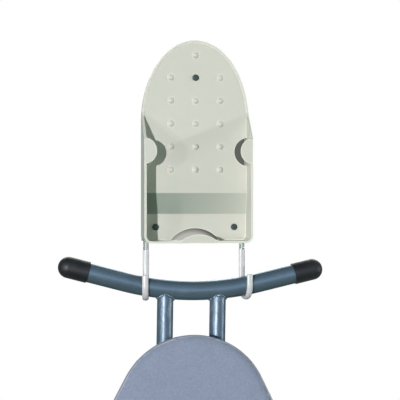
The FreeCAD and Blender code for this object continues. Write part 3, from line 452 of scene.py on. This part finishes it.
def zinc_steel():
    """Bright zinc plate with a faint spangle and rolling marks."""
    shader = Shader("zinc_steel", Metallic=1.0)
    spangle = shader.axis("X", shader.cells(420))
    tint = shader.mix(shader.span(spangle, 0.0, 1.0), srgb(176, 181, 184), srgb(140, 147, 151))
    stain = shader.span(shader.noise(45, 5), 0.5, 0.75, 0.0, 0.55)
    tint = shader.mix(stain, tint, srgb(112, 116, 112))
    marks = shader.noise(1, 3, 0.6, shader.stretched(900, 900, 40))
    shader.set(Base_Color=tint, Roughness=shader.span(marks, 0.3, 0.7, 0.26, 0.45),
               Normal=shader.bump(marks, 0.00006, 0.6))
    return shader.material


def dark_screw():
    """Grey-green passivated screw steel."""
    shader = Shader("dark_screw", Metallic=0.85)
    tint = shader.mix(shader.span(shader.noise(700, 4), 0.35, 0.65), srgb(92, 106, 104), srgb(60, 72, 70))
    shader.set(Base_Color=tint, Roughness=0.42, Normal=shader.bump(shader.noise(1500, 2), 0.00008, 0.6))
    return shader.material


def spring_steel():
    """Dark oiled spring steel."""
    shader = Shader("spring_steel", Metallic=1.0)
    tint = shader.mix(shader.span(shader.noise(500, 3), 0.3, 0.7), srgb(96, 98, 104), srgb(66, 68, 72))
    shader.set(Base_Color=tint, Roughness=0.32, Normal=shader.bump(shader.noise(2200, 2), 0.00005, 0.6))
    return shader.material


def nylon():
    """Grey nylon of the wall plugs."""
    grey = srgb(160, 163, 166)
    shader = Shader("plug_nylon", Subsurface_Weight=0.1, Subsurface_Scale=0.003)
    tint = shader.mix(shader.span(shader.noise(300, 3), 0.3, 0.7), grey, shade(grey, 0.9))
    rings = shader.node("TexWave", {"Vector": shader.place, "Scale": 160.0}, bands_direction="Y")
    shader.set(Base_Color=tint, Roughness=0.55, Normal=shader.bump(rings.outputs["Fac"], 0.0005, 0.8))
    return shader.material


def cap_rubber():
    """Black moulded rubber, dusty where it has been handled."""
    black = srgb(21, 24, 29)
    shader = Shader("cap_rubber", Sheen_Weight=0.12, Sheen_Roughness=0.5)
    dust = shader.span(shader.noise(55, 5), 0.48, 0.72, 0.0, 0.25)
    tint = shader.mix(dust, black, srgb(54, 59, 66))
    pits = shader.bump(shader.noise(1300, 3), 0.0002, 0.5)
    shader.set(Base_Color=tint, Roughness=shader.span(shader.noise(80, 3), 0.3, 0.7, 0.4, 0.58), Normal=pits)
    return shader.material


def black_plastic(name):
    """Black moulded plastic with a fine grain."""
    black = srgb(34, 36, 39)
    shader = Shader(name)
    tint = shader.mix(shader.span(shader.noise(120, 3), 0.3, 0.7), black, shade(black, 1.7))
    shader.set(Base_Color=tint, Roughness=shader.span(shader.noise(200, 3), 0.3, 0.7, 0.3, 0.45),
               Normal=shader.bump(shader.noise(1600, 2), 0.0001, 0.6))
    return shader.material


def weave_relief(shader, sheet, pitch):
    """Height of a plain weave: threads that pass over and under each other."""
    turns = math.pi / pitch
    crests = []
    for name in ("X", "Y"):
        phase = shader.math("MULTIPLY", shader.axis(name, sheet), turns)
        crests.append(shader.math("ABSOLUTE", shader.math("SINE", phase)))
    squares = {"Vector": sheet, "Scale": 1 / pitch, "Color1": (1, 1, 1, 1), "Color2": (0, 0, 0, 1)}
    over = shader.node("TexChecker", squares)
    warp = shader.math("MULTIPLY", crests[0], shader.span(crests[1], 0, 1, 0.55, 1.0))
    weft = shader.math("MULTIPLY", crests[1], shader.span(crests[0], 0, 1, 0.55, 1.0))
    return shader.between(over.outputs["Fac"], warp, weft)


def cover_fabric():
    """Lavender-grey plain-woven cotton: single threads, slubs, faded patches and a soft sheen."""
    shader = Shader("cover_fabric", Sheen_Weight=0.25, Sheen_Roughness=0.45, Sheen_Tint=srgb(205, 212, 235))
    sheet = shader.node("Attribute", attribute_name="sheet").outputs["Vector"]
    relief = weave_relief(shader, sheet, THREAD_PITCH)
    warp = shader.noise(1, 2, 0.6, shader.stretched(1100, 60, 1, sheet))
    weft = shader.noise(1, 2, 0.6, shader.stretched(60, 1100, 1, sheet))
    slub = shader.math("MULTIPLY", shader.math("ADD", warp, weft), 0.5)
    tint = shader.mix(shader.span(slub, 0.36, 0.64), shade(LAVENDER, 0.84), shade(LAVENDER, 1.14))
    patch = shader.span(shader.noise(16, 5, 0.6), 0.3, 0.7)
    tint = shader.mix(patch, tint, shader.mix(0.5, tint, srgb(140, 160, 182)))
    speck = shader.span(shader.noise(520, 3, 0.7), 0.3, 0.7)
    tint = shader.mix(shader.math("MULTIPLY", speck, 0.4), tint, shade(LAVENDER, 1.22))
    mottle = shader.span(shader.noise(330, 2, 0.6), 0.36, 0.64)
    tint = shader.mix(shader.math("MULTIPLY", mottle, 0.5), tint, shade(LAVENDER, 0.74))
    # Painted shade between the threads, where the weave dips.
    tint = shader.mix(shader.span(relief, 0.1, 0.9, 0.3, 0.0), tint, shade(LAVENDER, 0.55))
    fuzz = shader.bump(shader.noise(900, 4, 0.7), 0.0002, 0.5)
    threads = shader.bump(relief, 0.00028, 0.8, fuzz)
    shader.set(Base_Color=tint, Roughness=shader.span(speck, 0, 1, 0.78, 0.92), Normal=threads)
    return shader.material


def tape_fabric():
    """Twill tape of the drawcord casing, a shade darker than the cover."""
    colour = shade(LAVENDER, 0.78)
    shader = Shader("tape_fabric", Sheen_Weight=0.25)
    sheet = shader.node("Attribute", attribute_name="sheet").outputs["Vector"]
    waves = {"Vector": sheet, "Scale": 260.0, "Distortion": 0.6}
    twill = shader.node("TexWave", waves, bands_direction="DIAGONAL").outputs["Fac"]
    tint = shader.mix(twill, shade(colour, 0.82), shade(colour, 1.12))
    tint = shader.mix(shader.span(shader.noise(70, 4), 0.3, 0.7, 0.0, 0.4), tint, shade(colour, 1.25))
    shader.set(Base_Color=tint, Roughness=0.85, Normal=shader.bump(twill, 0.0003, 0.8))
    return shader.material


def felt():
    """Off-white needled felt with loose fibres."""
    pale = srgb(222, 219, 208)
    shader = Shader("pad_felt", Sheen_Weight=0.4)
    fibres = shader.noise(1, 4, 0.7, shader.stretched(420, 900, 260))
    tint = shader.mix(shader.span(fibres, 0.3, 0.7), shade(pale, 0.8), pale)
    fleck = shader.span(shader.noise(260, 5, 0.8), 0.62, 0.7)
    tint = shader.mix(fleck, tint, srgb(150, 152, 162))
    shader.set(Base_Color=tint, Roughness=0.95, Normal=shader.bump(fibres, 0.0008, 0.8))
    return shader.material


def braid(name, colour):
    """Braided cord: crossing strands around the cord."""
    shader = Shader(name, Sheen_Weight=0.3)
    sheet = shader.node("Attribute", attribute_name="sheet").outputs["Vector"]
    relief = weave_relief(shader, sheet, CORD_THREAD_PITCH)
    # Painted shade in the hollows between the strands.
    tint = shader.mix(relief, shade(colour, 0.6), colour)
    shader.set(Base_Color=tint, Roughness=0.8, Normal=shader.bump(relief, 0.0005, 0.9))
    return shader.material


def slot_back():
    """Painted shade of the wall behind the tray's openings: a glowing plate, seen from the front only."""
    shader = Shader("slot_back")
    away = shader.distance(SLOT_ARC_CENTRE)
    # Painted shadow along the bottom slot's upper edge, over a lighter painted wall.
    dark = shader.span(away, SLOT_ARC_RADIUS - SLOT_ARC_FADE, SLOT_ARC_RADIUS)
    colour = shader.mix(dark, srgb(184, 184, 177), srgb(98, 99, 94))
    glow = shader.node("Emission", {"Color": colour}).outputs["Emission"]
    behind = shader.node("NewGeometry").outputs["Backfacing"]
    clear = shader.node("BsdfTransparent").outputs["BSDF"]
    mixed = shader.node("MixShader", {0: behind, 1: glow, 2: clear}).outputs["Shader"]
    shader.feed(shader.tree.nodes["Material Output"], "Surface", mixed)
    return shader.material


def stage_floor(height):
    """Pale floor that fades out before its edge. Its bounced light is dim and greenish."""
    shader = Shader("stage_floor", Roughness=0.8)
    away = shader.distance((0, 0, height))
    pale = shader.mix(shader.span(shader.noise(3, 4), 0.3, 0.7), srgb(240, 236, 238), srgb(234, 230, 233))
    seen = shader.node("LightPath").outputs["Is Camera Ray"]
    shader.set(Base_Color=shader.mix(seen, srgb(96, 108, 98), pale),
               Normal=shader.bump(shader.noise(300, 3), 0.001, 0.2),
               Emission_Color=pale, Emission_Strength=shader.math("MULTIPLY", seen, FLOOR_GLOW),
               Alpha=shader.math("SUBTRACT", 1.0, shader.span(away, *FLOOR_FADE)))
    return shader.material


# Mesh helpers -------------------------------------------------------------------------------------

def new_object(name, bm, material, smooth=True):
    """Object from a bmesh, linked and given its material."""
    mesh = bpy.data.meshes.new(name)
    bm.to_mesh(mesh)
    bm.free()
    made = bpy.data.objects.new(name, mesh)
    bpy.context.scene.collection.objects.link(made)
    mesh.materials.append(material)
    for polygon in mesh.polygons:
        polygon.use_smooth = smooth
    return made


def grid_mesh(rows, loop_rows=False, loop_columns=False):
    """Mesh of quads between rows of points. The loop switches join the last row or column to the first."""
    bm = bmesh.new()
    grid = [[bm.verts.new(point) for point in row] for row in rows]
    row_count = len(grid)
    column_count = len(grid[0])
    for row in range(row_count if loop_rows else row_count - 1):
        for column in range(column_count if loop_columns else column_count - 1):
            below = grid[(row + 1) % row_count]
            after = (column + 1) % column_count
            bm.faces.new((grid[row][column], grid[row][after], below[after], below[column]))
    return bm


def apply_modifiers(piece):
    """Replaces the piece's mesh by the result of its modifiers."""
    graph = bpy.context.evaluated_depsgraph_get()
    evaluated = piece.evaluated_get(graph)
    result = bpy.data.meshes.new_from_object(evaluated, preserve_all_data_layers=True, depsgraph=graph)
    old = piece.data
    piece.modifiers.clear()
    piece.data = result
    bpy.data.meshes.remove(old)


def points_of(piece):
    flat = np.empty(len(piece.data.vertices) * 3)
    piece.data.vertices.foreach_get("co", flat)
    return flat.reshape(-1, 3)


def surface_tree(mesh):
    return BVHTree.FromPolygons([v.co for v in mesh.vertices], [p.vertices for p in mesh.polygons])


def store_sheet(piece, values):
    """Flat cloth coordinates of each point, in metres, for the weave."""
    layer = piece.data.attributes.new("sheet", "FLOAT_VECTOR", "POINT")
    layer.data.foreach_set("vector", np.asarray(values, dtype=np.float32).ravel())


# CAD nodes ----------------------------------------------------------------------------------------

def soften(node, width):
    """Joins a CAD node's facets into whole faces and rounds its edges, by modifiers only."""
    piece = NODES[node]
    mesh = piece.data
    if "custom_normal" in mesh.attributes:
        mesh.attributes.remove(mesh.attributes["custom_normal"])
    for polygon in mesh.polygons:
        polygon.use_smooth = True
    weld = piece.modifiers.new("weld", "WELD")
    weld.merge_threshold = JOIN_DISTANCE
    join = piece.modifiers.new("join", "DECIMATE")
    join.decimate_type = "DISSOLVE"
    join.angle_limit = FLAT_ANGLE
    bevel = piece.modifiers.new("bevel", "BEVEL")
    bevel.width = width
    bevel.segments = EDGE_SEGMENTS
    bevel.limit_method = "ANGLE"
    bevel.angle_limit = SHARP_ANGLE
    bevel.harden_normals = True
    bevel.use_clamp_overlap = True


def paint_node(node, material):
    NODES[node].data.materials.clear()
    NODES[node].data.materials.append(material)


def finish_cad_nodes():
    """Rounded edges and a detailed material for every CAD node that stays in view."""
    paints = {
        "tray_plastic": tray_plastic(),
        "hook_steel": plated_wire(),
        "hook_coating": hook_coating(),
        "zinc_steel": zinc_steel(),
        "plug_nylon": nylon(),
        "leg_paint": leg_paint(),
        "cap_rubber": cap_rubber(),
        "spring_steel": spring_steel(),
        "frame_paint": frame_paint(),
        "lock_plastic": black_plastic("lock_plastic"),
        "grip_plastic": black_plastic("grip_plastic"),
    }
    for part in frame["record"]["subparts"]:
        node = part["node"]
        slot = part["material_slot"]
        if slot not in paints:
            continue
        width = next((size for key, size in EDGE_ROUND.items() if key in node), EDGE_ROUND_OTHERS)
        if node != "board_mesh":
            soften(node, width)
        paint_node(node, paints[slot])
    paint_node("wall_screws", dark_screw())
    front_weld_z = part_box("front_leg_tube_right")[1].z - WELD_BELOW_END
    rear_weld_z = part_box("rear_leg_tube_right")[0].z + WELD_BELOW_END
    front = scuffed_and_highlit_leg_paint(front_weld_z)
    rear = scuffed_and_highlit_leg_paint(rear_weld_z)
    for side in ("left", "right"):
        paint_node("front_leg_tube_" + side, front)
        paint_node("rear_leg_tube_" + side, rear)


# Welds --------------------------------------------------------------------------------------------

def weld_bead(leg, side, direction, material):
    """Rippled bead around a leg tube's joint with its foot.

    Side is 1 for the right tube. Direction is 1 where the foot is above the leg.
    """
    name = "weld_" + leg + ("_right" if side > 0 else "_left")
    leg_x, leg_radius = LEG_TUBES[leg]
    turn = HANG.to_3x3()
    foot_low, foot_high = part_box(leg + "_foot_tube")
    start_z = foot_low.z - WELD_SEARCH if direction > 0 else foot_high.z + WELD_SEARCH
    tree = surface_tree(NODES[leg + "_foot_tube"].data)
    rng = random.Random(name)
    phase = rng.uniform(0, 6)
    rows = []
    for step in range(WELD_STEPS):
        angle = 2 * math.pi * step / WELD_STEPS
        outward = Vector((math.cos(angle), math.sin(angle), 0))
        start = Vector((side * leg_x, LEG_PLANE_Y, start_z)) + outward * leg_radius
        hit = tree.ray_cast(HANG @ start, turn @ Vector((0, 0, direction)))[0]
        ripple = WELD_RIPPLE * math.sin(WELD_RIPPLES * angle + phase)
        uneven = WELD_UNEVENNESS * noise.noise(outward * 2.3 + Vector((phase, 0, 0)))
        swell = WELD_RADIUS + ripple + uneven
        row = []
        for number in range(WELD_SIDES):
            tilt = 2 * math.pi * number / WELD_SIDES
            row.append(hit + turn @ (outward * math.cos(tilt) + Vector((0, 0, math.sin(tilt)))) * swell)
        rows.append(row)
    bead = new_object(name, grid_mesh(rows, loop_rows=True, loop_columns=True), material)
    turn_outwards(bead)
    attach(bead, leg + "_leg")


def turn_outwards(piece):
    """Turns all faces of a closed mesh outwards."""
    bm = bmesh.new()
    bm.from_mesh(piece.data)
    bmesh.ops.recalc_face_normals(bm, faces=bm.faces)
    bm.to_mesh(piece.data)
    bm.free()


# Board outline ------------------------------------------------------------------------------------

class Outline:
    """The board's outline in the x-z plane as points, outward directions and distances along it."""

    def __init__(self):
        points = self.trace()
        steps = np.linalg.norm(np.diff(points, axis=0, append=points[:1]), axis=1)
        self.perimeter = steps.sum()
        count = int(self.perimeter / OUTLINE_STEP)
        along = np.concatenate([[0.0], np.cumsum(steps)])
        closed = np.vstack([points, points[:1]])
        self.distance = np.arange(count) * self.perimeter / count
        self.points = np.stack([np.interp(self.distance, along, closed[:, axis]) for axis in (0, 1)], axis=1)
        ahead = np.roll(self.points, -1, axis=0) - np.roll(self.points, 1, axis=0)
        ahead /= np.linalg.norm(ahead, axis=1)[:, None]
        self.ahead = ahead
        self.outward = np.stack([-ahead[:, 1], ahead[:, 0]], axis=1)
        before, after = np.roll(ahead, 3, axis=0), np.roll(ahead, -3, axis=0)
        turn = np.abs(before[:, 0] * after[:, 1] - before[:, 1] * after[:, 0])
        self.curl = np.clip(turn / (6 * OUTLINE_STEP) * TAIL_CORNER_RADIUS, 0, 1)
        self.tree = KDTree(count)
        for index, (x, z) in enumerate(self.points):
            self.tree.insert((x, 0, z), index)
        self.tree.balance()

    def trace(self):
        """Arcs of the nose, the sides and the tail corners, clockwise from the top of the nose."""
        side_x = BOARD_HALF_WIDTH - SIDE_CURVE_RADIUS
        start_u = NOSE_RADIUS * (1 - math.sin(TAPER_ANGLE))
        run_x = side_x + (SIDE_CURVE_RADIUS - NOSE_RADIUS) * math.cos(TAPER_ANGLE)
        side_u = start_u + run_x / math.tan(TAPER_ANGLE) + SIDE_CURVE_RADIUS * math.sin(TAPER_ANGLE)
        corner_x = BOARD_HALF_WIDTH - TAIL_CORNER_RADIUS
        corner_u = BOARD_LENGTH - TAIL_CORNER_RADIUS
        arcs = (
            (0.0, NOSE_RADIUS, NOSE_RADIUS, math.pi / 2, TAPER_ANGLE),
            (side_x, side_u, SIDE_CURVE_RADIUS, TAPER_ANGLE, 0.0),
            (corner_x, corner_u, TAIL_CORNER_RADIUS, 0.0, -math.pi / 2),
        )
        right = []
        for x, u, radius, first, last in arcs:
            for angle in np.linspace(first, last, ARC_POINTS):
                right.append((x + radius * math.cos(angle), NOSE_Z - u + radius * math.sin(angle)))
        left = [(-x, z) for x, z in reversed(right)]
        return np.array(right + left[:-1])

    def at(self, distance):
        """Point, direction ahead and outward direction at a distance along the outline."""
        index = int(round(distance / self.perimeter * len(self.points))) % len(self.points)
        return self.points[index], self.ahead[index], self.outward[index]

    def place(self, inset):
        """The outline's points moved inwards."""
        return self.points - self.outward * inset

    def nearest(self, flat):
        """For points in the plane: nearest outline index and distance inside the outline."""
        index = np.array([self.tree.find((x, 0, z))[1] for x, z in flat])
        inset = -np.einsum("ij,ij->i", flat - self.points[index], self.outward[index])
        return index, inset


# Soft goods ---------------------------------------------------------------------------------------

def outline_solid(outline, profile):
    """Closed body with the outline's shape from a profile of (inset, y) rings, front to back."""
    bm = bmesh.new()
    rings = []
    for inset, y in profile:
        rings.append([bm.verts.new((x, y * MM, z)) for x, z in outline.place(inset * MM)])
    count = len(rings[0])
    for ring, after in zip(rings, rings[1:]):
        for index in range(count):
            other = (index + 1) % count
            bm.faces.new((ring[index], after[index], after[other], ring[other]))
    bm.faces.new(rings[0])
    bm.faces.new(list(reversed(rings[-1])))
    bmesh.ops.recalc_face_normals(bm, faces=bm.faces)
    return bm


def remesh(piece, voxel):
    modifier = piece.modifiers.new("voxels", "REMESH")
    modifier.mode = "VOXEL"
    modifier.voxel_size = voxel
    apply_modifiers(piece)
    for polygon in piece.data.polygons:
        polygon.use_smooth = True


def inflate(piece, held, travel):
    """Swells a closed body as cloth under pressure. Held is 1 for points that stay put, else 0."""
    group = piece.vertex_groups.new(name="held")
    for index in np.nonzero(held)[0]:
        group.add([int(index)], float(held[index]), "REPLACE")
    before = points_of(piece)
    cloth = piece.modifiers.new("cloth", "CLOTH")
    settings = cloth.settings
    settings.use_pressure = True
    settings.uniform_pressure_force = COVER_PRESSURE
    settings.effector_weights.gravity = 0
    settings.vertex_group_mass = "held"
    for name, value in COVER_STIFFNESS.items():
        setattr(settings, name, value)
    cloth.collision_settings.use_collision = False
    cloth.point_cache.frame_end = COVER_FRAMES
    scene = bpy.context.scene
    for number in range(1, COVER_FRAMES + 1):
        scene.frame_set(number)
    apply_modifiers(piece)
    scene.frame_set(1)
    moved = points_of(piece) - before
    length = np.linalg.norm(moved, axis=1)[:, None]
    capped = moved * np.minimum(1, travel / np.maximum(length, 1e-9))
    piece.data.vertices.foreach_set("co", (before + capped).ravel())
    piece.data.update()


def unrolled(outline, points, index, inset):
    """Flat cloth coordinates of a folded cover: the sides and hem opened out around the front."""
    flat = points[:, [0, 2]].copy()
    front_y = COVER_PROFILE[2][1] * MM
    depth = np.maximum(0, points[:, 1] - front_y)
    side = points[:, 1] > front_y
    reach = np.where(points[:, 1] > RIM_SIDE[1], depth + inset, depth - inset)
    opened = outline.points[index] + outline.outward[index] * reach[:, None]
    flat[side] = opened[side]
    return np.column_stack([flat, np.zeros(len(flat))])


def make_cover(outline):
    """Padded cover: a body swollen as cloth, opened at the back inside its hem, with gathers at the hem."""
    cover = new_object("cover_body", outline_solid(outline, COVER_PROFILE), cover_fabric())
    remesh(cover, COVER_VOXEL)
    inflate(cover, points_of(cover)[:, 1] > HEM_BACK_Y - COVER_TRAVEL, COVER_TRAVEL)
    points = points_of(cover)
    index, inset = outline.nearest(points[:, [0, 2]])
    fit_over_rim(outline, points, index, inset)
    index, inset = outline.nearest(points[:, [0, 2]])
    gather_hem(outline, points, index, inset)
    cover.data.vertices.foreach_set("co", points.ravel())
    store_sheet(cover, unrolled(outline, points, index, inset))
    open_back(cover, inset)
    smooth = cover.modifiers.new("smooth", "SUBSURF")
    smooth.levels = smooth.render_levels = 1
    sheet = cover.modifiers.new("sheet", "SOLIDIFY")
    sheet.thickness = COVER_SHEET
    sheet.offset = -1
    apply_modifiers(cover)
    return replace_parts(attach(cover, "board"), "board_cover")


def fit_over_rim(outline, points, index, inset):
    """Keeps the sheet outside the rim and behind it, and gives the front its slight waves."""
    beside = (points[:, 1] > RIM_SIDE[0]) & (points[:, 1] < RIM_SIDE[1])
    push = np.where(beside, np.maximum(0, inset + COVER_OUTSET), 0)
    points[:, [0, 2]] += outline.outward[index] * push[:, None]
    behind = (points[:, 1] >= RIM_SIDE[1]) & (inset > 0)
    points[behind, 1] = HEM_BACK_Y
    for number in np.nonzero(points[:, 1] < RIM_SIDE[0])[0]:
        x, y, z = points[number]
        slow = noise.noise(Vector((x, z, 0)) * WAVE_DENSITY)
        near_edge = math.exp(-max(0.0, inset[number]) / PUCKER_REACH)
        along = outline.distance[index[number]] * PUCKER_DENSITY
        pucker = noise.noise(Vector((along, 3, 0))) * near_edge
        points[number, 1] = y + WAVE_HEIGHT * (slow + pucker)


def gather_hem(outline, points, index, inset):
    """Radial pleats where the drawcord gathers the hem, deepest around the nose and tail corners."""
    along = outline.distance[index]
    behind = np.clip((points[:, 1] - HEM_START_Y) / HEM_BLEND, 0, 1)
    curl = PLEAT_STRAIGHT_SHARE + (1 - PLEAT_STRAIGHT_SHARE) * outline.curl[index]
    share = np.clip(inset / HEM_REACH, 0, 1) * curl
    phase = 2 * math.pi * along / PLEAT_LENGTH + 1.6 * np.sin(along * 23)
    points[:, 1] += behind * share * PLEAT_DEPTH * (0.5 + 0.5 * np.sin(phase))


def open_back(cover, inset):
    """Removes the back inside the hem."""
    bm = bmesh.new()
    bm.from_mesh(cover.data)
    bm.verts.ensure_lookup_table()
    inner = [v for v in bm.verts if v.co.y > RIM_SIDE[1] and inset[v.index] > HEM_REACH]
    bmesh.ops.delete(bm, geom=inner, context="VERTS")
    bm.to_mesh(cover.data)
    bm.free()


def outline_tube(name, outline, inset, y, radius, material, distances, closed, swell=None, sides=12):
    """Tube along the outline, with its flat cloth coordinates. Swell varies the radius along it."""
    rows = []
    sheet = []
    for distance in distances:
        point, _, outward = outline.at(distance)
        centre = point - outward * inset
        thick = radius * (swell(distance) if swell else 1)
        row = []
        for side in range(sides):
            angle = 2 * math.pi * side / sides
            offset = outward * math.cos(angle) * thick
            row.append((centre[0] + offset[0], y + math.sin(angle) * thick, centre[1] + offset[1]))
            sheet.append((distance, radius * angle, 0))
        rows.append(row)
    tube = new_object(name, grid_mesh(rows, loop_rows=closed, loop_columns=True), material)
    store_sheet(tube, sheet)
    turn_outwards(tube)
    return tube


def make_casing(outline):
    """Sewn channel around the hem's inner edge, gathered along the cord and open at the tail."""
    tail = outline.perimeter / 2
    gap_start, gap_end = tail - CASING_GAP, tail + CASING_GAP
    length = outline.perimeter - 2 * CASING_GAP
    count = int(length / OUTLINE_STEP)
    distances = [gap_end + length * step / count for step in range(count + 1)]

    def gathers(distance):
        rest = distance % outline.perimeter
        mouth = CASING_FLARE * math.exp(-min(abs(rest - gap_start), abs(rest - gap_end)) / CASING_MOUTH)
        phase = 2 * math.pi * distance / GATHER_PITCH + 2 * math.sin(distance * 31)
        return 1 + GATHER_DEPTH * math.sin(phase) + mouth

    casing = outline_tube("cover_casing", outline, CASING_INSET, CASING_Y, CASING_RADIUS, tape_fabric(),
                          distances, False, gathers)
    sheet = casing.modifiers.new("sheet", "SOLIDIFY")
    sheet.thickness = CASING_SHEET
    sheet.offset = -1
    apply_modifiers(casing)
    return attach(casing, "board")


def make_cord(outline):
    """Braided drawcord inside the casing."""
    cord = outline_tube("cover_drawcord", outline, CASING_INSET, CASING_Y, CORD_RADIUS,
                        braid("cover_cord", srgb(226, 225, 218)), outline.distance, True)
    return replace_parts(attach(cord, "board"), "cover_cord")


def make_stitches(outline, cover):
    """Row of thread stitches that joins the casing to the hem."""
    tree = surface_tree(cover.data)
    bm = bmesh.new()
    count = int(outline.perimeter / STITCH_PITCH)
    tail = outline.perimeter / 2
    for number in range(count):
        distance = outline.perimeter * number / count
        if abs(distance - tail) < CASING_GAP:
            continue
        point, ahead, outward = outline.at(distance)
        place = point - outward * STITCH_INSET
        hit = tree.ray_cast(Vector((place[0], 0, place[1])), Vector((0, -1, 0)))[0]
        if hit is None:
            continue
        add_stitch(bm, hit, Vector((ahead[0], 0, ahead[1])))
    stitches = new_object("cover_stitches", bm, braid("stitch_thread", shade(LAVENDER, 1.2)))
    store_sheet(stitches, points_of(stitches))
    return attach(stitches, "board")


def add_stitch(bm, middle, ahead):
    """One stitch: a short bent thread that rises from the cloth and dips back into it."""
    across = ahead.cross(Vector((0, 1, 0)))
    rings = []
    for step in range(STITCH_RINGS):
        share = step / (STITCH_RINGS - 1) - 0.5
        lift = STITCH_RADIUS * (0.9 - 5.5 * share * share)
        centre = middle + ahead * (share * STITCH_LENGTH) + Vector((0, lift, 0))
        ring = []
        for side in range(STITCH_SIDES):
            angle = 2 * math.pi * side / STITCH_SIDES
            offset = across * math.cos(angle) + Vector((0, math.sin(angle), 0))
            ring.append(bm.verts.new(centre + offset * STITCH_RADIUS))
        rings.append(ring)
    for ring, after in zip(rings, rings[1:]):
        for side in range(STITCH_SIDES):
            other = (side + 1) % STITCH_SIDES
            bm.faces.new((ring[side], ring[other], after[other], after[side]))
    bm.faces.new(list(reversed(rings[0])))
    bm.faces.new(rings[-1])


def make_pad(outline):
    """Felt pad between the mesh and the cover, seen through the mesh from behind."""
    pad = new_object("felt_pad", outline_solid(outline, PAD_PROFILE), felt(), smooth=False)
    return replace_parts(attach(pad, "board"), "board_pad")


# Stage --------------------------------------------------------------------------------------------

def make_camera():
    data = bpy.data.cameras.new("camera")
    data.lens = CAMERA_LENS
    data.sensor_width = 36
    camera = bpy.data.objects.new("camera", data)
    back = Vector((math.sin(CAMERA_AZIMUTH), -math.cos(CAMERA_AZIMUTH), 0))
    camera.location = CAMERA_AIM + back * CAMERA_DISTANCE
    camera.rotation_mode = "QUATERNION"
    camera.rotation_quaternion = (-back).to_track_quat("-Z", "Y")
    bpy.context.scene.collection.objects.link(camera)
    bpy.context.scene.camera = camera


def from_angles(azimuth, elevation):
    """Direction from the object to a light. Azimuth 0 is straight out of the wall, less is to the left."""
    side = math.radians(azimuth)
    rise = math.radians(elevation)
    return Vector((math.sin(side) * math.cos(rise), -math.cos(side) * math.cos(rise), math.sin(rise)))


def make_sun(name, azimuth, elevation, strength, spread, colour):
    data = bpy.data.lights.new(name, "SUN")
    data.energy = strength
    data.angle = math.radians(spread)
    data.color = colour
    sun = bpy.data.objects.new(name, data)
    sun.rotation_mode = "QUATERNION"
    sun.rotation_quaternion = (-from_angles(azimuth, elevation)).to_track_quat("-Z", "Y")
    bpy.context.scene.collection.objects.link(sun)


def make_world():
    """White to the camera. Metal mirrors a pale blue room over a dark floor. The fill light is greenish."""
    world = bpy.data.worlds.new("room")
    bpy.context.scene.world = world
    world.use_nodes = True
    tree = world.node_tree
    tree.nodes.clear()

    def node(kind, **attributes):
        made = tree.nodes.new("ShaderNode" + kind)
        for name, value in attributes.items():
            setattr(made, name, value)
        return made

    path = node("LightPath")
    ray = node("NewGeometry").outputs["Incoming"]
    split = node("SeparateXYZ")
    tree.links.new(ray, split.inputs[0])
    ramp = node("ValToRGB")
    ramp.color_ramp.interpolation = "EASE"
    elements = ramp.color_ramp.elements
    for position, colour in ROOM_BANDS:
        element = elements[0] if position == 0 else elements.new(position)
        element.position = position
        element.color = colour
    elements.remove(elements[-1])
    height = node("MapRange")
    height.inputs["From Min"].default_value = -1
    height.inputs["From Max"].default_value = 1
    tree.links.new(split.outputs["Z"], height.inputs["Value"])
    tree.links.new(height.outputs["Result"], ramp.inputs["Fac"])

    wall = node("MapRange")
    wall.inputs["From Min"].default_value = WALL_EDGE[0]
    wall.inputs["From Max"].default_value = WALL_EDGE[1]
    wall.inputs["To Min"].default_value = WALL_MIRRORED
    wall.inputs["To Max"].default_value = ROOM_MIRRORED
    tree.links.new(split.outputs["Y"], wall.inputs["Value"])

    mirrored = node("Background")
    tree.links.new(ramp.outputs["Color"], mirrored.inputs["Color"])
    tree.links.new(wall.outputs["Result"], mirrored.inputs["Strength"])
    fill = node("Background")
    fill.inputs["Color"].default_value = ROOM_FILL_COLOUR
    fill.inputs["Strength"].default_value = ROOM_FILL
    seen = node("Background")
    seen.inputs["Color"].default_value = (1, 1, 1, 1)
    glossy = node("MixShader")
    tree.links.new(path.outputs["Is Glossy Ray"], glossy.inputs["Fac"])
    tree.links.new(fill.outputs[0], glossy.inputs[1])
    tree.links.new(mirrored.outputs[0], glossy.inputs[2])
    camera = node("MixShader")
    tree.links.new(path.outputs["Is Camera Ray"], camera.inputs["Fac"])
    tree.links.new(glossy.outputs[0], camera.inputs[1])
    tree.links.new(seen.outputs[0], camera.inputs[2])
    tree.links.new(camera.outputs[0], node("OutputWorld").inputs["Surface"])


def make_floor():
    low, _ = CAD_BOX
    bm = bmesh.new()
    bmesh.ops.create_grid(bm, x_segments=2, y_segments=2, size=FLOOR_SIZE / 2)
    height = low.z - FLOOR_DROP
    bmesh.ops.translate(bm, vec=(0, 0, height), verts=bm.verts)
    floor = new_object("floor", bm, stage_floor(height), smooth=False)


def make_slot_back():
    """Plate of shade just behind the wall plane, inside the tray's outline."""
    (left, right), (low, high), y = SLOT_BACK
    corners = [[(left, y, low), (right, y, low)], [(left, y, high), (right, y, high)]]
    back = new_object("slot_back", grid_mesh(corners), slot_back(), smooth=False)
    back.visible_shadow = back.visible_diffuse = back.visible_glossy = False


# Build --------------------------------------------------------------------------------------------

def main():
    outline = Outline()
    finish_cad_nodes()
    cover = make_cover(outline)
    stitches = make_stitches(outline, cover)
    for piece in (cover, stitches, make_casing(outline), make_cord(outline), make_pad(outline)):
        piece.data.transform(HANG)
    weld = weld_metal()
    for side in (-1, 1):
        weld_bead("front", side, 1, weld)
        weld_bead("rear", side, -1, weld)
    make_floor()
    make_slot_back()
    make_camera()
    make_world()
    for sun in SUNS:
        make_sun(*sun)
    bpy.context.scene.view_settings.view_transform = "Standard"


main()
